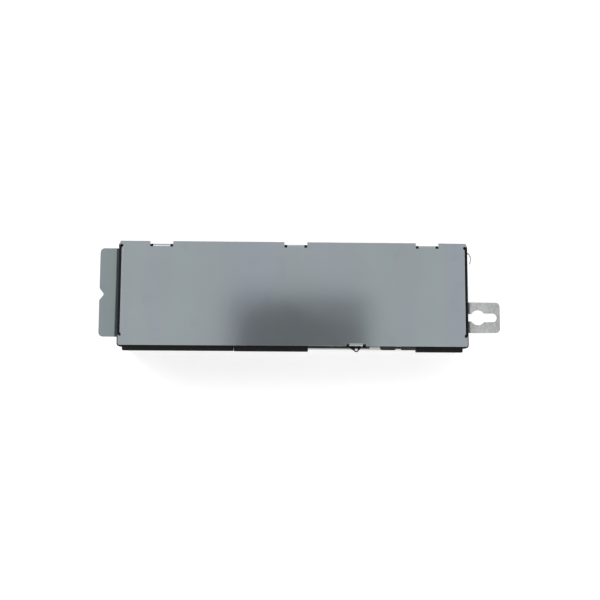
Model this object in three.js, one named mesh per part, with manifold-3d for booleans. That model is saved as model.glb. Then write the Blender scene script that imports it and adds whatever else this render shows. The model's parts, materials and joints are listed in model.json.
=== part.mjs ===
// Bill validator: a sheet-steel sensing unit of a cash machine, in millimetres, +Z up.
// Notes pass through it along Y, long edge first, between a lower unit that is fixed
// and an upper unit that is hinged at the back. The origin is the middle of the base.

import * as THREE from "three";
import { mergeVertices } from "three/addons/utils/BufferGeometryUtils.js";
import Module from "manifold-3d";

const wasm = await Module();
wasm.setup();

// ---------- driving dimensions ----------

// Clearances
const fitGap = 0.3; // between pieces that touch
const runGap = 0.3; // between a shaft and its bore
const rollerGap = 0.8; // between a roller and what stands beside it

// Note path
const pathWidth = 210; // X
const pathGap = 2.5; // lower guide to upper guide
const guideSheet = 2;
const guideFlare = 5; // depth of the flared mouths
const lowerFlareDrop = 4.5;
const frontFlareRise = 4;
const backFlareRise = 3;
const lowerGuideKnee = 0.6; // inner knee of the lower guide, inside its outer one
const upperGuideKnee = 0.4;
const guideSkirtDrop = 0.5; // guide's face to the top of its side skirts
const skirtShaftGap = 2; // drive shaft to the skirt
const windowGapX = 1.5; // roller to the end of its window
const windowGapY = 1;

// Rollers, shafts and gears
const shaftRadius = 3;
const driveRollerRadius = 8;
const rollerProud = 0.6; // drive roller above the lower guide
const rollerNip = 0.3; // drive roller to pinch roller
const rollerWidth = 14;
const rollerSpacing = 62;
const rollerPlaces = [-rollerSpacing, 0, rollerSpacing];
const rollerChamfer = 0.6;
const pinchRollerRadius = 7;
const pinchShaftRadius = 2;
const pinchBlockHalf = 3.6;
const pinchSpringLength = 5.4;
const pinchSpringRadius = 2.2;
const pinchSpringWire = 0.35;
const pinchSpringTurns = 4;
const pinchSpringSeatGap = 0.2; // block to the spring's lowest turn
const pinchBlockWall = 2.6; // above the pinch shaft
const pinchBlockProud = 0.3; // of the cheek's faces
const pinchShaftOverhang = 1.6; // past the cheek
const gearModule = 0.8;
const shaftGearTeeth = 22;
const idlerGearTeeth = 32;
const inputGearTeeth = 20;
const gearWidth = 4;
const gearHub = 2; // length and wall of a gear's hub
const gearToSpring = 0.4; // shaft gears to the lift spring's wire
const toothAddendum = 0.8; // of the module
const toothDedendum = 1.15;
const toothRootHalf = 0.32; // half a tooth's width, as a share of the pitch
const toothTipHalf = 0.12;
const inputGearWidth = 3;
const inputGearGap = 1; // right side plate to the input gear
const inputShaftProud = 0.4;
const shaftOverhang = 1.5; // past the side plates
const gearFloor = 2.96; // idler gear above the tray
const bushRadius = 5;
const bushFlange = 1.2; // thickness
const bushFlangeReach = 1.6;
const bushProud = 0.4; // of the side plate's outer face

// Cover
const coverRise = 23.1; // pinch shafts to the top of the cover
const endRoom = 14.9; // shaft middle to the cover's front or back edge
const sideRoom = 16; // note path to the cover's bent side
const coverSheet = 1;
const coverBend = 1.8;
const coverSideFoot = 4; // foot of the bent sides above the hinge pin
const coverCorner = 1.2;
const coverEdgeGap = 0.5; // cover's edge to the edges of what it covers
const cornerOverhang = 0.8; // corners stand past the bent sides
const reliefRadius = 1.2;
const reliefInset = 0.4; // bent side's face to the middle of the relief
const reliefDepth = 3; // below the cover's sheet
const frontReliefInset = 7.4; // front edge to the corner relief
const backReliefInset = 3.4;
const leftBackTabInset = 28.3; // cover's end to the middle of the tab
const rightBackTabInset = 27;
const middleBackTab = 1.3;
const backTab = { width: 12, setback: 1.9, reliefDepth: 2 };
const frontTab = { width: 9.4, setback: 0.3, reliefDepth: 1.2 };
const tabReliefWidth = 2;
const tabDrop = 6;

// Bezel: the black rim that shows round the cover's sides and front corners
const bezelSheet = 1.4;
const bezelProud = 0.9; // of the cover's front edge
const bezelBackInset = 0.9; // cover's back edge to the bezel
const bezelBar = { depth: 2.2, height: 2 }; // joins the two sides under the back tabs
const bezelCorner = 2;

// Side plates and their ears
const plateSheet = 1.2;
const coverToPlate = 2.3; // cover's bent side to the side plate
const plateCorner = 6;
const plateFootCorner = 2;
const earDrop = 11; // cover's top to the ears
const earBend = 3.2;
const earCorner = 3;
const leftEarReach = 14; // past the side plate's inner face
const leftEarBackReach = -0.2; // past the cover's back relief
const leftEarFrontReach = 1.1; // past the cover's front relief
const leftNotchOffset = -1.4; // from the middle of the ear
const leftNotchOpening = 8.6;
const leftNotchDepth = 3;
const leftNotchRadius = 1.2;
const rightEarReach = 24.1;
const rightEarInset = 21.5; // cover's front edge to the middle of the ear
const rightEarWidth = 22;
const keyholeInset = 8.3; // side plate's inner face to the round hole
const keyholeDiameter = 10.7;
const keyholeSlot = 6;
const keyholeSlotEnd = 2.2; // end of the slot to the end of the ear
const keyholeInnerSlot = 5.2;

// Chassis tray
const trayLip = 16;

// Sensors
const sensorMargin = 9; // end of the glass to the end of the path
const sensorDepth = 13;
const sensorCorner = 1;
const sensorEndInset = 2; // end of the glass to the end of its sensor
const glassSetback = 0.3; // glass behind the guide's face
const lowerSensorHeight = 12.7;
const upperSensorHeight = 11;
const magneticMargin = 8; // end of the magnetic bar to the end of the glass
const magneticGap = 2.5; // magnetic bar to the sensor and to the roller
const magneticSetback = 0.2;
const magneticHeight = 12.5;
const lowerBoardDepth = 24;

// Upper frame and hinge
const cheekGap = 0.5; // guide to the frame's cheeks
const cheekSheet = 2.5;
const railSheet = 2;
const railInset = 1.5; // back rail to the cover's edge
const crossRailInset = 19.5; // back rail to the cross rail
const backRailRise = 4.2; // foot of the cheeks to the foot of the rail
const frontRailRise = 3.2;
const railToLatch = 2.4; // front rail to the latch shaft
const cheekNose = 4.5; // latch shaft to the front end of the cheeks
const boardToCheek = 0.4;
const hingeInset = 5; // hinge pin to the cover's back edge
const hingeRise = 5.1; // hinge pin above the pinch shafts
const hingePinRadius = 2.3;
const hingeBossRadius = 4.8;
const hingePinGrip = 4.5; // length of the pin inside the boss
const hingePinProud = 0.6; // of the side plate's outer face
const springWire = 0.6; // radius
const springRadius = 6.6;
const springTurns = 3.1;
const springPitch = 1.7;
const springToCheek = 1.4; // cheek to the middle of the first turn
const springHoleGap = 0.5; // wire to its hole in the right side plate
const springLegSetback = 2.5; // outer leg behind the hinge pin
const springLegDrop = 5.2; // outer leg below the hinge pin
const springFootGap = 0.5; // inner leg to the upper unit above it
const springFootInset = 1.2; // inner leg's end to the cheek's inner face
// The inner leg from its foot to the coil: ahead of the hinge pin, and up from the foot.
const springInnerLeg = [
  { ahead: 19, up: 0 },
  { ahead: 16, up: 0 },
  { ahead: 8, up: 0.3 },
];
// The outer leg from the hole to its hooked end: out from the plate, ahead of the hole and up.
const springOuterLeg = [
  { out: 2.8, ahead: 0.6, up: 1 },
  { out: 4.1, ahead: 3.6, up: 3.6 },
  { out: 4.1, ahead: 7, up: 5.4 },
  { out: 2.8, ahead: 9.8, up: 5.8 },
];
const springEntry = { inside: 5, behind: 0.3 }; // where the coil turns towards the hole

// Latch
const latchInset = 6.5; // latch shaft to the cover's front edge
const latchShaftRadius = 2;
const latchDrop = 4.6; // latch shaft below the board
const keeperRadius = 1.75;
const keeperRise = 4.46; // keeper stud above the shaft gear
const keeperSetback = 1.5; // keeper stud behind the latch shaft
const latchPlay = 0.4;
const hookSheet = 1.5;
const hookArm = 3.2;
const hookNose = 2.4;
const hookHead = 3.8;
const hookInset = 3.2; // cheek to the middle of the hook
const hookLip = 1; // nose past the middle of the stud
const hookChamfer = 1; // back of the hook's foot
const hookLead = { length: 0.8, height: 0.4 }; // slope of the nose
const hookThroatRise = 1.2; // head's underside to the top of the throat
const hookBackRise = 2.2; // head's underside to the top of the back
const hookHeadNotch = 0.5; // head's flat above the throat
const latchShaftOverhang = 3; // past the middle of the hooks
const releaseTurn = 15; // degrees the hooks are drawn back from the studs
const leverWidth = 9;
const leverReach = 3.5; // past the cover's front edge
const leverShoulder = 0.3; // cover's front edge to where the tongue narrows
const leverTip = 1.9; // radius of the tongue's round end
const leverEye = 1.1; // radius
const leverEyeOffset = 1;
const leverRise = 0.6; // latch shaft's middle to the underside of the tongue
const leverHubWall = 2;

// Control board and connectors
const boardDrop = 8.4; // cover's top to the board's underside
const boardSheet = 1.6;
const boardMargin = 9; // board to the cover's end
const boardFrontInset = 5;
const boardBackInset = 6.5;
const boardCorner = 1.5;
const connectorDepth = 9.5; // inside the cover's front edge
const connectorWall = 1;
const connectorCavity = 5;
const connectorTongueInset = 2.2;
const connectorTongueSetback = 0.6; // behind the mouth
const rooted = 0.5; // how deep a joined solid runs into what carries it
const wideConnector = { inset: 2, length: 77.2, reach: 3.6, height: 5 };
const middleConnector = { gap: fitGap, length: 51.6, reach: 3.8, height: 5 };
const rightConnector = { inset: 2.5, length: 32.7, reach: 3.8, height: 4.8 };
const frontTabGap = 33.6; // middle connector to the front tab
const shieldedSockets = [
  { name: "left_shielded_socket", gap: 9.8, length: 7.1, reach: 1.4, height: 3.4 },
  { name: "middle_shielded_socket", gap: 0.6, length: 10.2, reach: 2.4, height: 4.6 },
  { name: "right_shielded_socket", gap: 4.2, length: 9.7, reach: 2.3, height: 4.6 },
];
const boardComponents = [
  { x: 0, y: 6, length: 40, depth: 12, height: 1.8 },
  { x: -53, y: 15, length: 18, depth: 14, height: 1.6 },
  { x: -81, y: 1, length: 18, depth: 14, height: 1.6 },
  { x: 54, y: 15, length: 12, depth: 10, height: 1.4 },
  { x: 76, y: 6, length: 8, depth: 12, height: 3.4 },
  { x: 95, y: 1, length: 6, depth: 26, height: 3 },
  { x: -30, y: -7, length: 8, depth: 10, height: 1.4 },
  { x: 27, y: -18, length: 6, depth: 8, height: 1.4 },
];

// ---------- places worked out from them ----------

// Across the unit
const pathSide = pathWidth / 2;
const coverSide = pathSide + sideRoom;
const plateInner = coverSide + coverToPlate;
const plateOuter = plateInner + plateSheet;
const cheekInner = pathSide + cheekGap;
const cheekOuter = cheekInner + cheekSheet;
const bossEnd = coverSide - coverSheet - cheekGap;
const springX = cheekOuter + springToCheek;
const gearX = springX + springWire + gearToSpring;
const hookX = cheekOuter + hookInset;
const leftEarEnd = plateInner + leftEarReach;
const rightEarEnd = plateInner + rightEarReach;
const keyholeX = plateInner + keyholeInset;

// Along the notes' way
const shaftY = (gearModule * (shaftGearTeeth + idlerGearTeeth)) / 2;
const coverEdge = shaftY + endRoom;
const innerEdge = coverEdge - coverEdgeGap; // of the pieces under the cover
const frontRelief = frontReliefInset - coverEdge;
const backRelief = coverEdge - backReliefInset;
const leftEarFront = frontRelief - leftEarFrontReach;
const leftEarBack = backRelief + leftEarBackReach;
const rightEarY = rightEarInset - coverEdge;
const sensorY = driveRollerRadius + rollerGap - shaftY + sensorDepth / 2;
const magneticFront = sensorY + sensorDepth / 2 + magneticGap;
const magneticBack = shaftY - driveRollerRadius - magneticGap;
const hingeY = coverEdge - hingeInset;
const latchY = latchInset - coverEdge;
const springLegY = hingeY + springLegSetback;

// Up from the base
const gearTooth = toothAddendum * gearModule; // above the pitch circle
const shaftGearTip = (gearModule * shaftGearTeeth) / 2 + gearTooth;
const idlerGearTip = (gearModule * idlerGearTeeth) / 2 + gearTooth;
const shaftZ = plateSheet + gearFloor + idlerGearTip;
const pathHeight = shaftZ + driveRollerRadius - rollerProud;
const upperPath = pathHeight + pathGap;
const pinchZ = shaftZ + driveRollerRadius + rollerNip + pinchRollerRadius;
const caseHeight = pinchZ + coverRise;
const hingeZ = pinchZ + hingeRise;
const coverSideDrop = caseHeight - hingeZ - coverSideFoot;
const springLegZ = hingeZ - springLegDrop;
const boardZ = caseHeight - boardDrop;
const latchZ = boardZ - latchDrop;
const keeperZ = shaftZ + shaftGearTip + keeperRise;
const earTop = caseHeight - earDrop;
const plateTop = earTop - earBend;
const cheekBottom = upperPath + guideSheet + fitGap;
const cheekTop = boardZ - boardToCheek;
const pinchBlockTop = pinchZ + pinchShaftRadius + pinchBlockWall;
const springSeat = pinchBlockTop + pinchSpringSeatGap;
const slotTop = springSeat + pinchSpringLength;

// Along the front edge
const wideConnectorStart = wideConnector.inset - coverSide;
const wideConnectorEnd = wideConnectorStart + wideConnector.length;
const middleConnectorStart = wideConnectorEnd + middleConnector.gap;
const middleConnectorEnd = middleConnectorStart + middleConnector.length;
const rightConnectorEnd = coverSide - rightConnector.inset;
const frontTabX = middleConnectorEnd + frontTabGap;

// ---------- finishes ----------

const finish = (color, roughness, metalness) =>
  new THREE.MeshStandardMaterial({ color, roughness, metalness });
const coatedSteel = finish(0x929da1, 0.42, 0.35);
const platedSteel = finish(0xa9afb0, 0.38, 0.85);
const brightSteel = finish(0xc4c7c9, 0.25, 1);
const blackPlastic = finish(0x16171a, 0.5, 0);
const greyPlastic = finish(0x3a3d42, 0.55, 0);
const whitePlastic = finish(0xd9d7cf, 0.5, 0);
const bronze = finish(0x8c6a3c, 0.5, 0.7);
const rubber = finish(0x2b2b2d, 0.85, 0);
const glass = finish(0x51616b, 0.08, 0);
const boardGreen = finish(0x1f5a3a, 0.55, 0);
const shellSteel = finish(0xb9bcbd, 0.3, 0.95);

// ---------- solids ----------

const roundSides = 20;
const wireSides = 6;
const studSides = 16;
const smallHoleSides = 12;
const arcSteps = 5;
const past = 1; // how far a cut runs past the face it opens
const mergeTolerance = 1e-4;

function solid(geometry) {
  const bare = geometry.clone();
  bare.deleteAttribute("normal");
  bare.deleteAttribute("uv");
  const merged = mergeVertices(bare, mergeTolerance);
  return new wasm.Manifold(
    new wasm.Mesh({
      numProp: 3,
      vertProperties: new Float32Array(merged.attributes.position.array),
      triVerts: new Uint32Array(merged.index.array),
    }),
  );
}

function geometryOf(manifold) {
  const mesh = manifold.getMesh();
  const geometry = new THREE.BufferGeometry();
  geometry.setAttribute("position", new THREE.BufferAttribute(new Float32Array(mesh.vertProperties), 3));
  geometry.setIndex(new THREE.BufferAttribute(new Uint32Array(mesh.triVerts), 1));
  geometry.computeVertexNormals();
  return geometry;
}

// Each pair of limits may be given in either order, so that one call serves both sides.
function block(xs, ys, zs) {
  const low = [xs, ys, zs].map((pair) => Math.min(...pair));
  const high = [xs, ys, zs].map((pair) => Math.max(...pair));
  const size = high.map((value, axis) => value - low[axis]);
  const geometry = new THREE.BoxGeometry(...size);
  geometry.translate(...high.map((value, axis) => (value + low[axis]) / 2));
  return solid(geometry);
}

function rodX(radius, xs, y, z, sides = roundSides) {
  const length = Math.abs(xs[1] - xs[0]);
  const geometry = new THREE.CylinderGeometry(radius, radius, length, sides);
  geometry.rotateZ(-Math.PI / 2);
  geometry.translate((xs[0] + xs[1]) / 2, y, z);
  return solid(geometry);
}

function rodZ(radius, zs, x, y, sides = roundSides) {
  const length = Math.abs(zs[1] - zs[0]);
  const geometry = new THREE.CylinderGeometry(radius, radius, length, sides);
  geometry.rotateX(Math.PI / 2);
  geometry.translate(x, y, (zs[0] + zs[1]) / 2);
  return solid(geometry);
}

function outline(points) {
  return new THREE.Shape(points.map(([a, b]) => new THREE.Vector2(a, b)));
}

function extrusion(shape, ends) {
  const depth = Math.abs(ends[1] - ends[0]);
  return new THREE.ExtrudeGeometry(shape, { depth, bevelEnabled: false, curveSegments: arcSteps });
}

// A shape drawn in Y and Z, drawn out along X.
function alongX(shape, xs) {
  const geometry = extrusion(shape, xs);
  const turn = new THREE.Matrix4().makeBasis(
    new THREE.Vector3(0, 1, 0),
    new THREE.Vector3(0, 0, 1),
    new THREE.Vector3(1, 0, 0),
  );
  geometry.applyMatrix4(turn);
  geometry.translate(Math.min(...xs), 0, 0);
  return solid(geometry);
}

// A shape drawn in X and Z, drawn out along Y.
function alongY(shape, ys) {
  const geometry = extrusion(shape, ys);
  geometry.rotateX(Math.PI / 2);
  geometry.translate(0, Math.max(...ys), 0);
  return solid(geometry);
}

// A shape drawn in X and Y, drawn out along Z.
function alongZ(shape, zs) {
  const geometry = extrusion(shape, zs);
  geometry.translate(0, 0, Math.min(...zs));
  return solid(geometry);
}

function roundedRectangle(x0, x1, y0, y1, radius) {
  const shape = new THREE.Shape();
  shape.moveTo(x0 + radius, y0);
  shape.lineTo(x1 - radius, y0);
  shape.absarc(x1 - radius, y0 + radius, radius, -Math.PI / 2, 0, false);
  shape.lineTo(x1, y1 - radius);
  shape.absarc(x1 - radius, y1 - radius, radius, 0, Math.PI / 2, false);
  shape.lineTo(x0 + radius, y1);
  shape.absarc(x0 + radius, y1 - radius, radius, Math.PI / 2, Math.PI, false);
  shape.lineTo(x0, y0 + radius);
  shape.absarc(x0 + radius, y0 + radius, radius, Math.PI, 1.5 * Math.PI, false);
  return shape;
}

function wire(points, radius, steps) {
  const path = new THREE.CatmullRomCurve3(points.map(([x, y, z]) => new THREE.Vector3(x, y, z)));
  const corners = [];
  for (let side = 0; side < wireSides; side += 1) {
    const angle = (side * 2 * Math.PI) / wireSides;
    corners.push([radius * Math.cos(angle), radius * Math.sin(angle)]);
  }
  return solid(new THREE.ExtrudeGeometry(outline(corners), { steps, extrudePath: path }));
}

const model = new THREE.Group();
const upperUnit = new THREE.Group();
model.add(upperUnit);

function piece(name, body, material, group = model) {
  const mesh = new THREE.Mesh(geometryOf(body), material);
  mesh.name = name;
  group.add(mesh);
}

const sides = [
  { side: -1, label: "left" },
  { side: 1, label: "right" },
];

// ---------- bent sheet ----------

// The section of a sheet that runs flat from inner to outer and bends down there.
function bentEdge(inner, outer, top, drop, sheet, radius) {
  const side = Math.sign(outer - inner);
  const middle = outer - side * radius;
  const level = side > 0 ? 0 : Math.PI;
  const shape = new THREE.Shape();
  shape.moveTo(inner, top);
  shape.lineTo(middle, top);
  shape.absarc(middle, top - radius, radius, Math.PI / 2, level, side > 0);
  shape.lineTo(outer, top - drop);
  shape.lineTo(outer - side * sheet, top - drop);
  shape.lineTo(outer - side * sheet, top - radius);
  shape.absarc(middle, top - radius, radius - sheet, level, Math.PI / 2, side < 0);
  shape.lineTo(inner, top - sheet);
  return shape;
}

// ---------- cover ----------

const coverTop = caseHeight;
const coverUnder = caseHeight - coverSheet;
const coverCut = [coverUnder - past, coverTop + past];

function bentSide(cover, side) {
  const line = side * (coverSide - coverBend);
  const corner = side * (coverSide + cornerOverhang + past);
  const stretch = [frontRelief, backRelief];
  const bend = bentEdge(line - side, side * coverSide, coverTop, coverSideDrop, coverSheet, coverBend);
  let body = cover.subtract(block([line, corner], stretch, coverCut)).add(alongY(bend, stretch));
  const reliefX = side * (coverSide - reliefInset);
  const reliefZs = [coverUnder - reliefDepth, coverTop + past];
  for (const y of stretch) {
    body = body.subtract(rodZ(reliefRadius, reliefZs, reliefX, y, smallHoleSides));
  }
  return body;
}

// A tab bent down inside the front or back edge, with a relief cut at each of its ends.
function setBackTab(cover, x, edge, { width, setback, reliefDepth }) {
  const side = Math.sign(edge);
  const outside = edge + side * past;
  const line = edge - side * setback;
  const half = width / 2;
  const relief = half + tabReliefWidth;
  const bend = bentEdge(line - side * (coverBend + past), line, coverTop, tabDrop, coverSheet, coverBend);
  let body = cover.subtract(block([x - half, x + half], [line - side * coverBend, outside], coverCut));
  const slotYs = [line - side * reliefDepth, outside];
  for (const end of [-1, 1]) {
    body = body.subtract(block([x + end * half, x + end * relief], slotYs, coverCut));
  }
  return body.add(alongX(bend, [x - half, x + half]));
}

function topCover() {
  const corner = coverSide + cornerOverhang;
  const flat = roundedRectangle(-corner, corner, -coverEdge, coverEdge, coverCorner);
  let body = alongZ(flat, [coverUnder, coverTop]);
  for (const { side } of sides) {
    body = bentSide(body, side);
  }
  for (const x of [leftBackTabInset - coverSide, middleBackTab, coverSide - rightBackTabInset]) {
    body = setBackTab(body, x, coverEdge, backTab);
  }
  return setBackTab(body, frontTabX, -coverEdge, frontTab);
}

// ---------- bezel ----------

function upperBezel() {
  const inner = coverSide + fitGap;
  const outer = inner + bezelSheet;
  const corner = coverSide - wideConnector.inset + fitGap;
  const front = -coverEdge - bezelProud;
  const back = coverEdge - bezelBackInset;
  const zs = [boardZ, coverUnder - fitGap];
  let body = block([-outer, outer], [back - bezelBar.depth, back], [boardZ, boardZ + bezelBar.height]);
  for (const { side } of sides) {
    body = body
      .add(block([side * inner, side * outer], [front, back], zs))
      .add(block([side * corner, side * outer], [front, frontRelief - fitGap], zs));
  }
  const outside = roundedRectangle(-outer, outer, front, back, bezelCorner);
  return body.intersect(alongZ(outside, [zs[0] - past, zs[1] + past]));
}

// ---------- side plates with their ears ----------

const plateFaces = (side) => [side * plateInner, side * plateOuter];
const plateCut = (side) => [side * (plateInner - past), side * (plateOuter + past)];
const earCut = [earTop - plateSheet - past, earTop + past];

// The ear's section: up the plate, round the bend and out flat.
function earSection(side, end) {
  const middle = side * (plateInner + earBend);
  const level = side > 0 ? Math.PI : 0;
  const low = plateTop - plateCorner;
  const shape = new THREE.Shape();
  shape.moveTo(side * plateInner, low);
  shape.lineTo(side * plateInner, plateTop);
  shape.absarc(middle, plateTop, earBend, level, Math.PI / 2, side > 0);
  shape.lineTo(side * end, earTop);
  shape.lineTo(side * end, earTop - plateSheet);
  shape.lineTo(middle, earTop - plateSheet);
  shape.absarc(middle, plateTop, earBend - plateSheet, Math.PI / 2, level, side < 0);
  shape.lineTo(side * plateOuter, low);
  return shape;
}

function roundEarCorner(ear, side, end, y, into) {
  const middleX = side * (end - earCorner);
  const middleY = y + into * earCorner;
  const square = block([middleX, side * (end + past)], [middleY, y - into * past], earCut);
  return ear.subtract(square.subtract(rodZ(earCorner, earCut, middleX, middleY)));
}

function earBlank(side, end, front, back) {
  const ear = alongY(earSection(side, end), [front, back]);
  return roundEarCorner(roundEarCorner(ear, side, end, front, 1), side, end, back, -1);
}

function plateWall(side) {
  const foot = plateFootCorner;
  const shoulder = plateTop - plateCorner;
  const wall = new THREE.Shape();
  wall.moveTo(foot - coverEdge, 0);
  wall.lineTo(coverEdge - foot, 0);
  wall.lineTo(coverEdge, foot);
  wall.lineTo(coverEdge, shoulder);
  wall.absarc(coverEdge - plateCorner, shoulder, plateCorner, 0, Math.PI / 2, false);
  wall.lineTo(plateCorner - coverEdge, plateTop);
  wall.absarc(plateCorner - coverEdge, shoulder, plateCorner, Math.PI / 2, Math.PI, false);
  wall.lineTo(-coverEdge, foot);
  return alongX(wall, plateFaces(side));
}

function plateBores(plate, side) {
  let body = plate;
  for (const y of [-shaftY, shaftY]) {
    body = body.subtract(rodX(bushRadius + fitGap, plateCut(side), y, shaftZ));
  }
  return body.subtract(rodX(hingePinRadius + runGap, plateCut(side), hingeY, hingeZ));
}

// The stud that the latch hook holds is riveted into the plate.
function keeperStud(side) {
  const ends = [side * (hookX - hookSheet), side * (plateInner + plateSheet / 2)];
  return rodX(keeperRadius, ends, latchY + keeperSetback, keeperZ, studSides);
}

function locatingNotch() {
  const end = -leftEarEnd;
  const middle = (leftEarFront + leftEarBack) / 2 + leftNotchOffset;
  const half = leftNotchOpening / 2;
  const bottom = end + leftNotchDepth - leftNotchRadius;
  const flank = leftNotchRadius * Math.sin(Math.PI / 3);
  const notch = new THREE.Shape();
  notch.moveTo(end - past, middle - half);
  notch.lineTo(end, middle - half);
  notch.lineTo(bottom + leftNotchRadius / 2, middle - flank);
  notch.absarc(bottom, middle, leftNotchRadius, -Math.PI / 3, Math.PI / 3, false);
  notch.lineTo(end, middle + half);
  notch.lineTo(end - past, middle + half);
  return alongZ(notch, earCut);
}

function leftSidePlate() {
  const ear = earBlank(-1, leftEarEnd, leftEarFront, leftEarBack).subtract(locatingNotch());
  return plateBores(plateWall(-1).add(ear), -1).add(keeperStud(-1));
}

function keyhole() {
  const half = keyholeSlot / 2;
  const slotEnd = rightEarEnd - keyholeSlotEnd - half;
  const innerHalf = keyholeInnerSlot / 2;
  const slot = block([keyholeX, slotEnd], [rightEarY - half, rightEarY + half], earCut);
  const innerRun = [rightEarY - innerHalf, rightEarY + innerHalf];
  const innerSlot = block([plateInner - past, keyholeX], innerRun, [plateTop - 2, earTop + past]);
  return rodZ(keyholeDiameter / 2, earCut, keyholeX, rightEarY)
    .add(rodZ(half, earCut, slotEnd, rightEarY))
    .add(slot)
    .add(innerSlot);
}

function rightSidePlate() {
  const half = rightEarWidth / 2;
  const ear = earBlank(1, rightEarEnd, rightEarY - half, rightEarY + half);
  const holeRadius = springWire + springHoleGap;
  const springHole = rodX(holeRadius, plateCut(1), springLegY, springLegZ, smallHoleSides);
  const idlerStud = rodX(shaftRadius, [gearX - 1, plateInner + plateSheet / 2], 0, shaftZ);
  const plate = plateWall(1).add(ear).subtract(keyhole()).subtract(springHole);
  return plateBores(plate, 1).add(keeperStud(1)).add(idlerStud);
}

// ---------- lower unit ----------

function chassisTray() {
  const side = plateInner - fitGap;
  const inside = innerEdge - plateSheet;
  const section = outline([
    [-innerEdge, 0], [innerEdge, 0], [innerEdge, trayLip], [inside, trayLip],
    [inside, plateSheet], [-inside, plateSheet], [-inside, trayLip], [-innerEdge, trayLip],
  ]);
  return alongX(section, [-side, side]);
}

// Openings in a guide for its rollers: as long as the roller's chord at the guide, and a little more.
function rollerWindows(guide, radius, axisZ, low, high) {
  const cut = [low - past, high + past];
  const depth = Math.abs(axisZ - (low + high) / 2) - (high - low) / 2;
  const halfY = Math.sqrt(radius * radius - depth * depth) + windowGapY;
  const halfX = rollerWidth / 2 + windowGapX;
  let body = guide;
  for (const y of [-shaftY, shaftY]) {
    for (const x of rollerPlaces) {
      body = body.subtract(block([x - halfX, x + halfX], [y - halfY, y + halfY], cut));
    }
  }
  return body;
}

const glassLength = pathWidth - 2 * sensorMargin;
const magneticLength = glassLength - 2 * magneticMargin;

function barWindow(guide, length, front, back, low, high) {
  const halfX = length / 2 + fitGap;
  const ys = [front - fitGap, back + fitGap];
  return guide.subtract(block([-halfX, halfX], ys, [low - past, high + past]));
}

function glassWindow(guide, low, high) {
  return barWindow(guide, glassLength, sensorY - sensorDepth / 2, sensorY + sensorDepth / 2, low, high);
}

function lowerGuide() {
  const flat = innerEdge - guideFlare;
  const top = pathHeight;
  const under = top - guideSheet;
  const mouth = top - lowerFlareDrop;
  const section = outline([
    [-innerEdge, mouth - guideSheet], [lowerGuideKnee - flat, under], [flat - lowerGuideKnee, under],
    [innerEdge, mouth - guideSheet], [innerEdge, mouth], [flat, top], [-flat, top], [-innerEdge, mouth],
  ]);
  let body = alongX(section, [-pathSide, pathSide]);
  for (const { side } of sides) {
    const faces = [side * (pathSide - guideSheet), side * pathSide];
    const run = coverEdge - boardBackInset;
    let skirt = block(faces, [-run, run], [plateSheet + fitGap, top - guideSkirtDrop]);
    for (const y of [-shaftY, shaftY]) {
      const cut = [faces[0] - side * past, faces[1] + side * past];
      skirt = skirt.subtract(rodX(shaftRadius + skirtShaftGap, cut, y, shaftZ));
    }
    body = body.add(skirt);
  }
  body = rollerWindows(body, driveRollerRadius, shaftZ, under, top);
  body = glassWindow(body, under, top);
  return barWindow(body, magneticLength, magneticFront, magneticBack, under, top);
}

function bar(length, front, back, low, high) {
  const shape = roundedRectangle(-length / 2, length / 2, front, back, sensorCorner);
  return alongZ(shape, [low, high]);
}

function sensorBar(length, low, high) {
  return bar(length, sensorY - sensorDepth / 2, sensorY + sensorDepth / 2, low, high);
}

function lowerUnit() {
  const glassUnder = pathHeight - guideSheet;
  const sensorTop = glassUnder - fitGap;
  const sensorLow = sensorTop - lowerSensorHeight;
  const magneticTop = pathHeight - magneticSetback;
  const boardTop = sensorLow - fitGap;
  const halfBoard = lowerBoardDepth / 2;
  const sensorLength = glassLength - 2 * sensorEndInset;
  piece("chassis_tray", chassisTray(), platedSteel);
  piece("left_side_plate", leftSidePlate(), coatedSteel);
  piece("right_side_plate", rightSidePlate(), platedSteel);
  piece("lower_guide", lowerGuide(), blackPlastic);
  piece("lower_image_sensor", sensorBar(sensorLength, sensorLow, sensorTop), greyPlastic);
  piece("lower_sensor_glass", sensorBar(glassLength, glassUnder, pathHeight - glassSetback), glass);
  const magneticLow = magneticTop - magneticHeight;
  const magneticBar = bar(magneticLength, magneticFront, magneticBack, magneticLow, magneticTop);
  piece("magnetic_head_bar", magneticBar, shellSteel);
  const boardXs = [-glassLength / 2, glassLength / 2];
  const board = block(boardXs, [-halfBoard, halfBoard], [boardTop - boardSheet, boardTop]);
  piece("lower_sensor_board", board, boardGreen);
}

// ---------- shafts, rollers and gears ----------

// Teeth with straight flanks; the phase is the angle of the first tooth.
function gearBlank(teeth, xs, phase, bore) {
  const root = gearModule * (teeth / 2 - toothDedendum);
  const tip = (gearModule * teeth) / 2 + gearTooth;
  const stations = [
    [root, -toothRootHalf],
    [tip, -toothTipHalf],
    [tip, toothTipHalf],
    [root, toothRootHalf],
  ];
  const points = [];
  for (let tooth = 0; tooth < teeth; tooth += 1) {
    for (const [radius, share] of stations) {
      const angle = phase + ((tooth + share) * 2 * Math.PI) / teeth;
      points.push([radius * Math.cos(angle), radius * Math.sin(angle)]);
    }
  }
  return alongX(outline(points), xs).subtract(rodX(bore, [xs[0] - past, xs[1] + past], 0, 0));
}

function hubbedGear(teeth, phase, y) {
  const bore = shaftRadius + fitGap;
  const end = gearX + gearWidth;
  const hub = rodX(bore + gearHub, [end, end + gearHub], 0, 0)
    .subtract(rodX(bore, [end - past, end + gearHub + past], 0, 0));
  return gearBlank(teeth, [gearX, end], phase, bore).add(hub).translate([0, y, shaftZ]);
}

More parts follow.
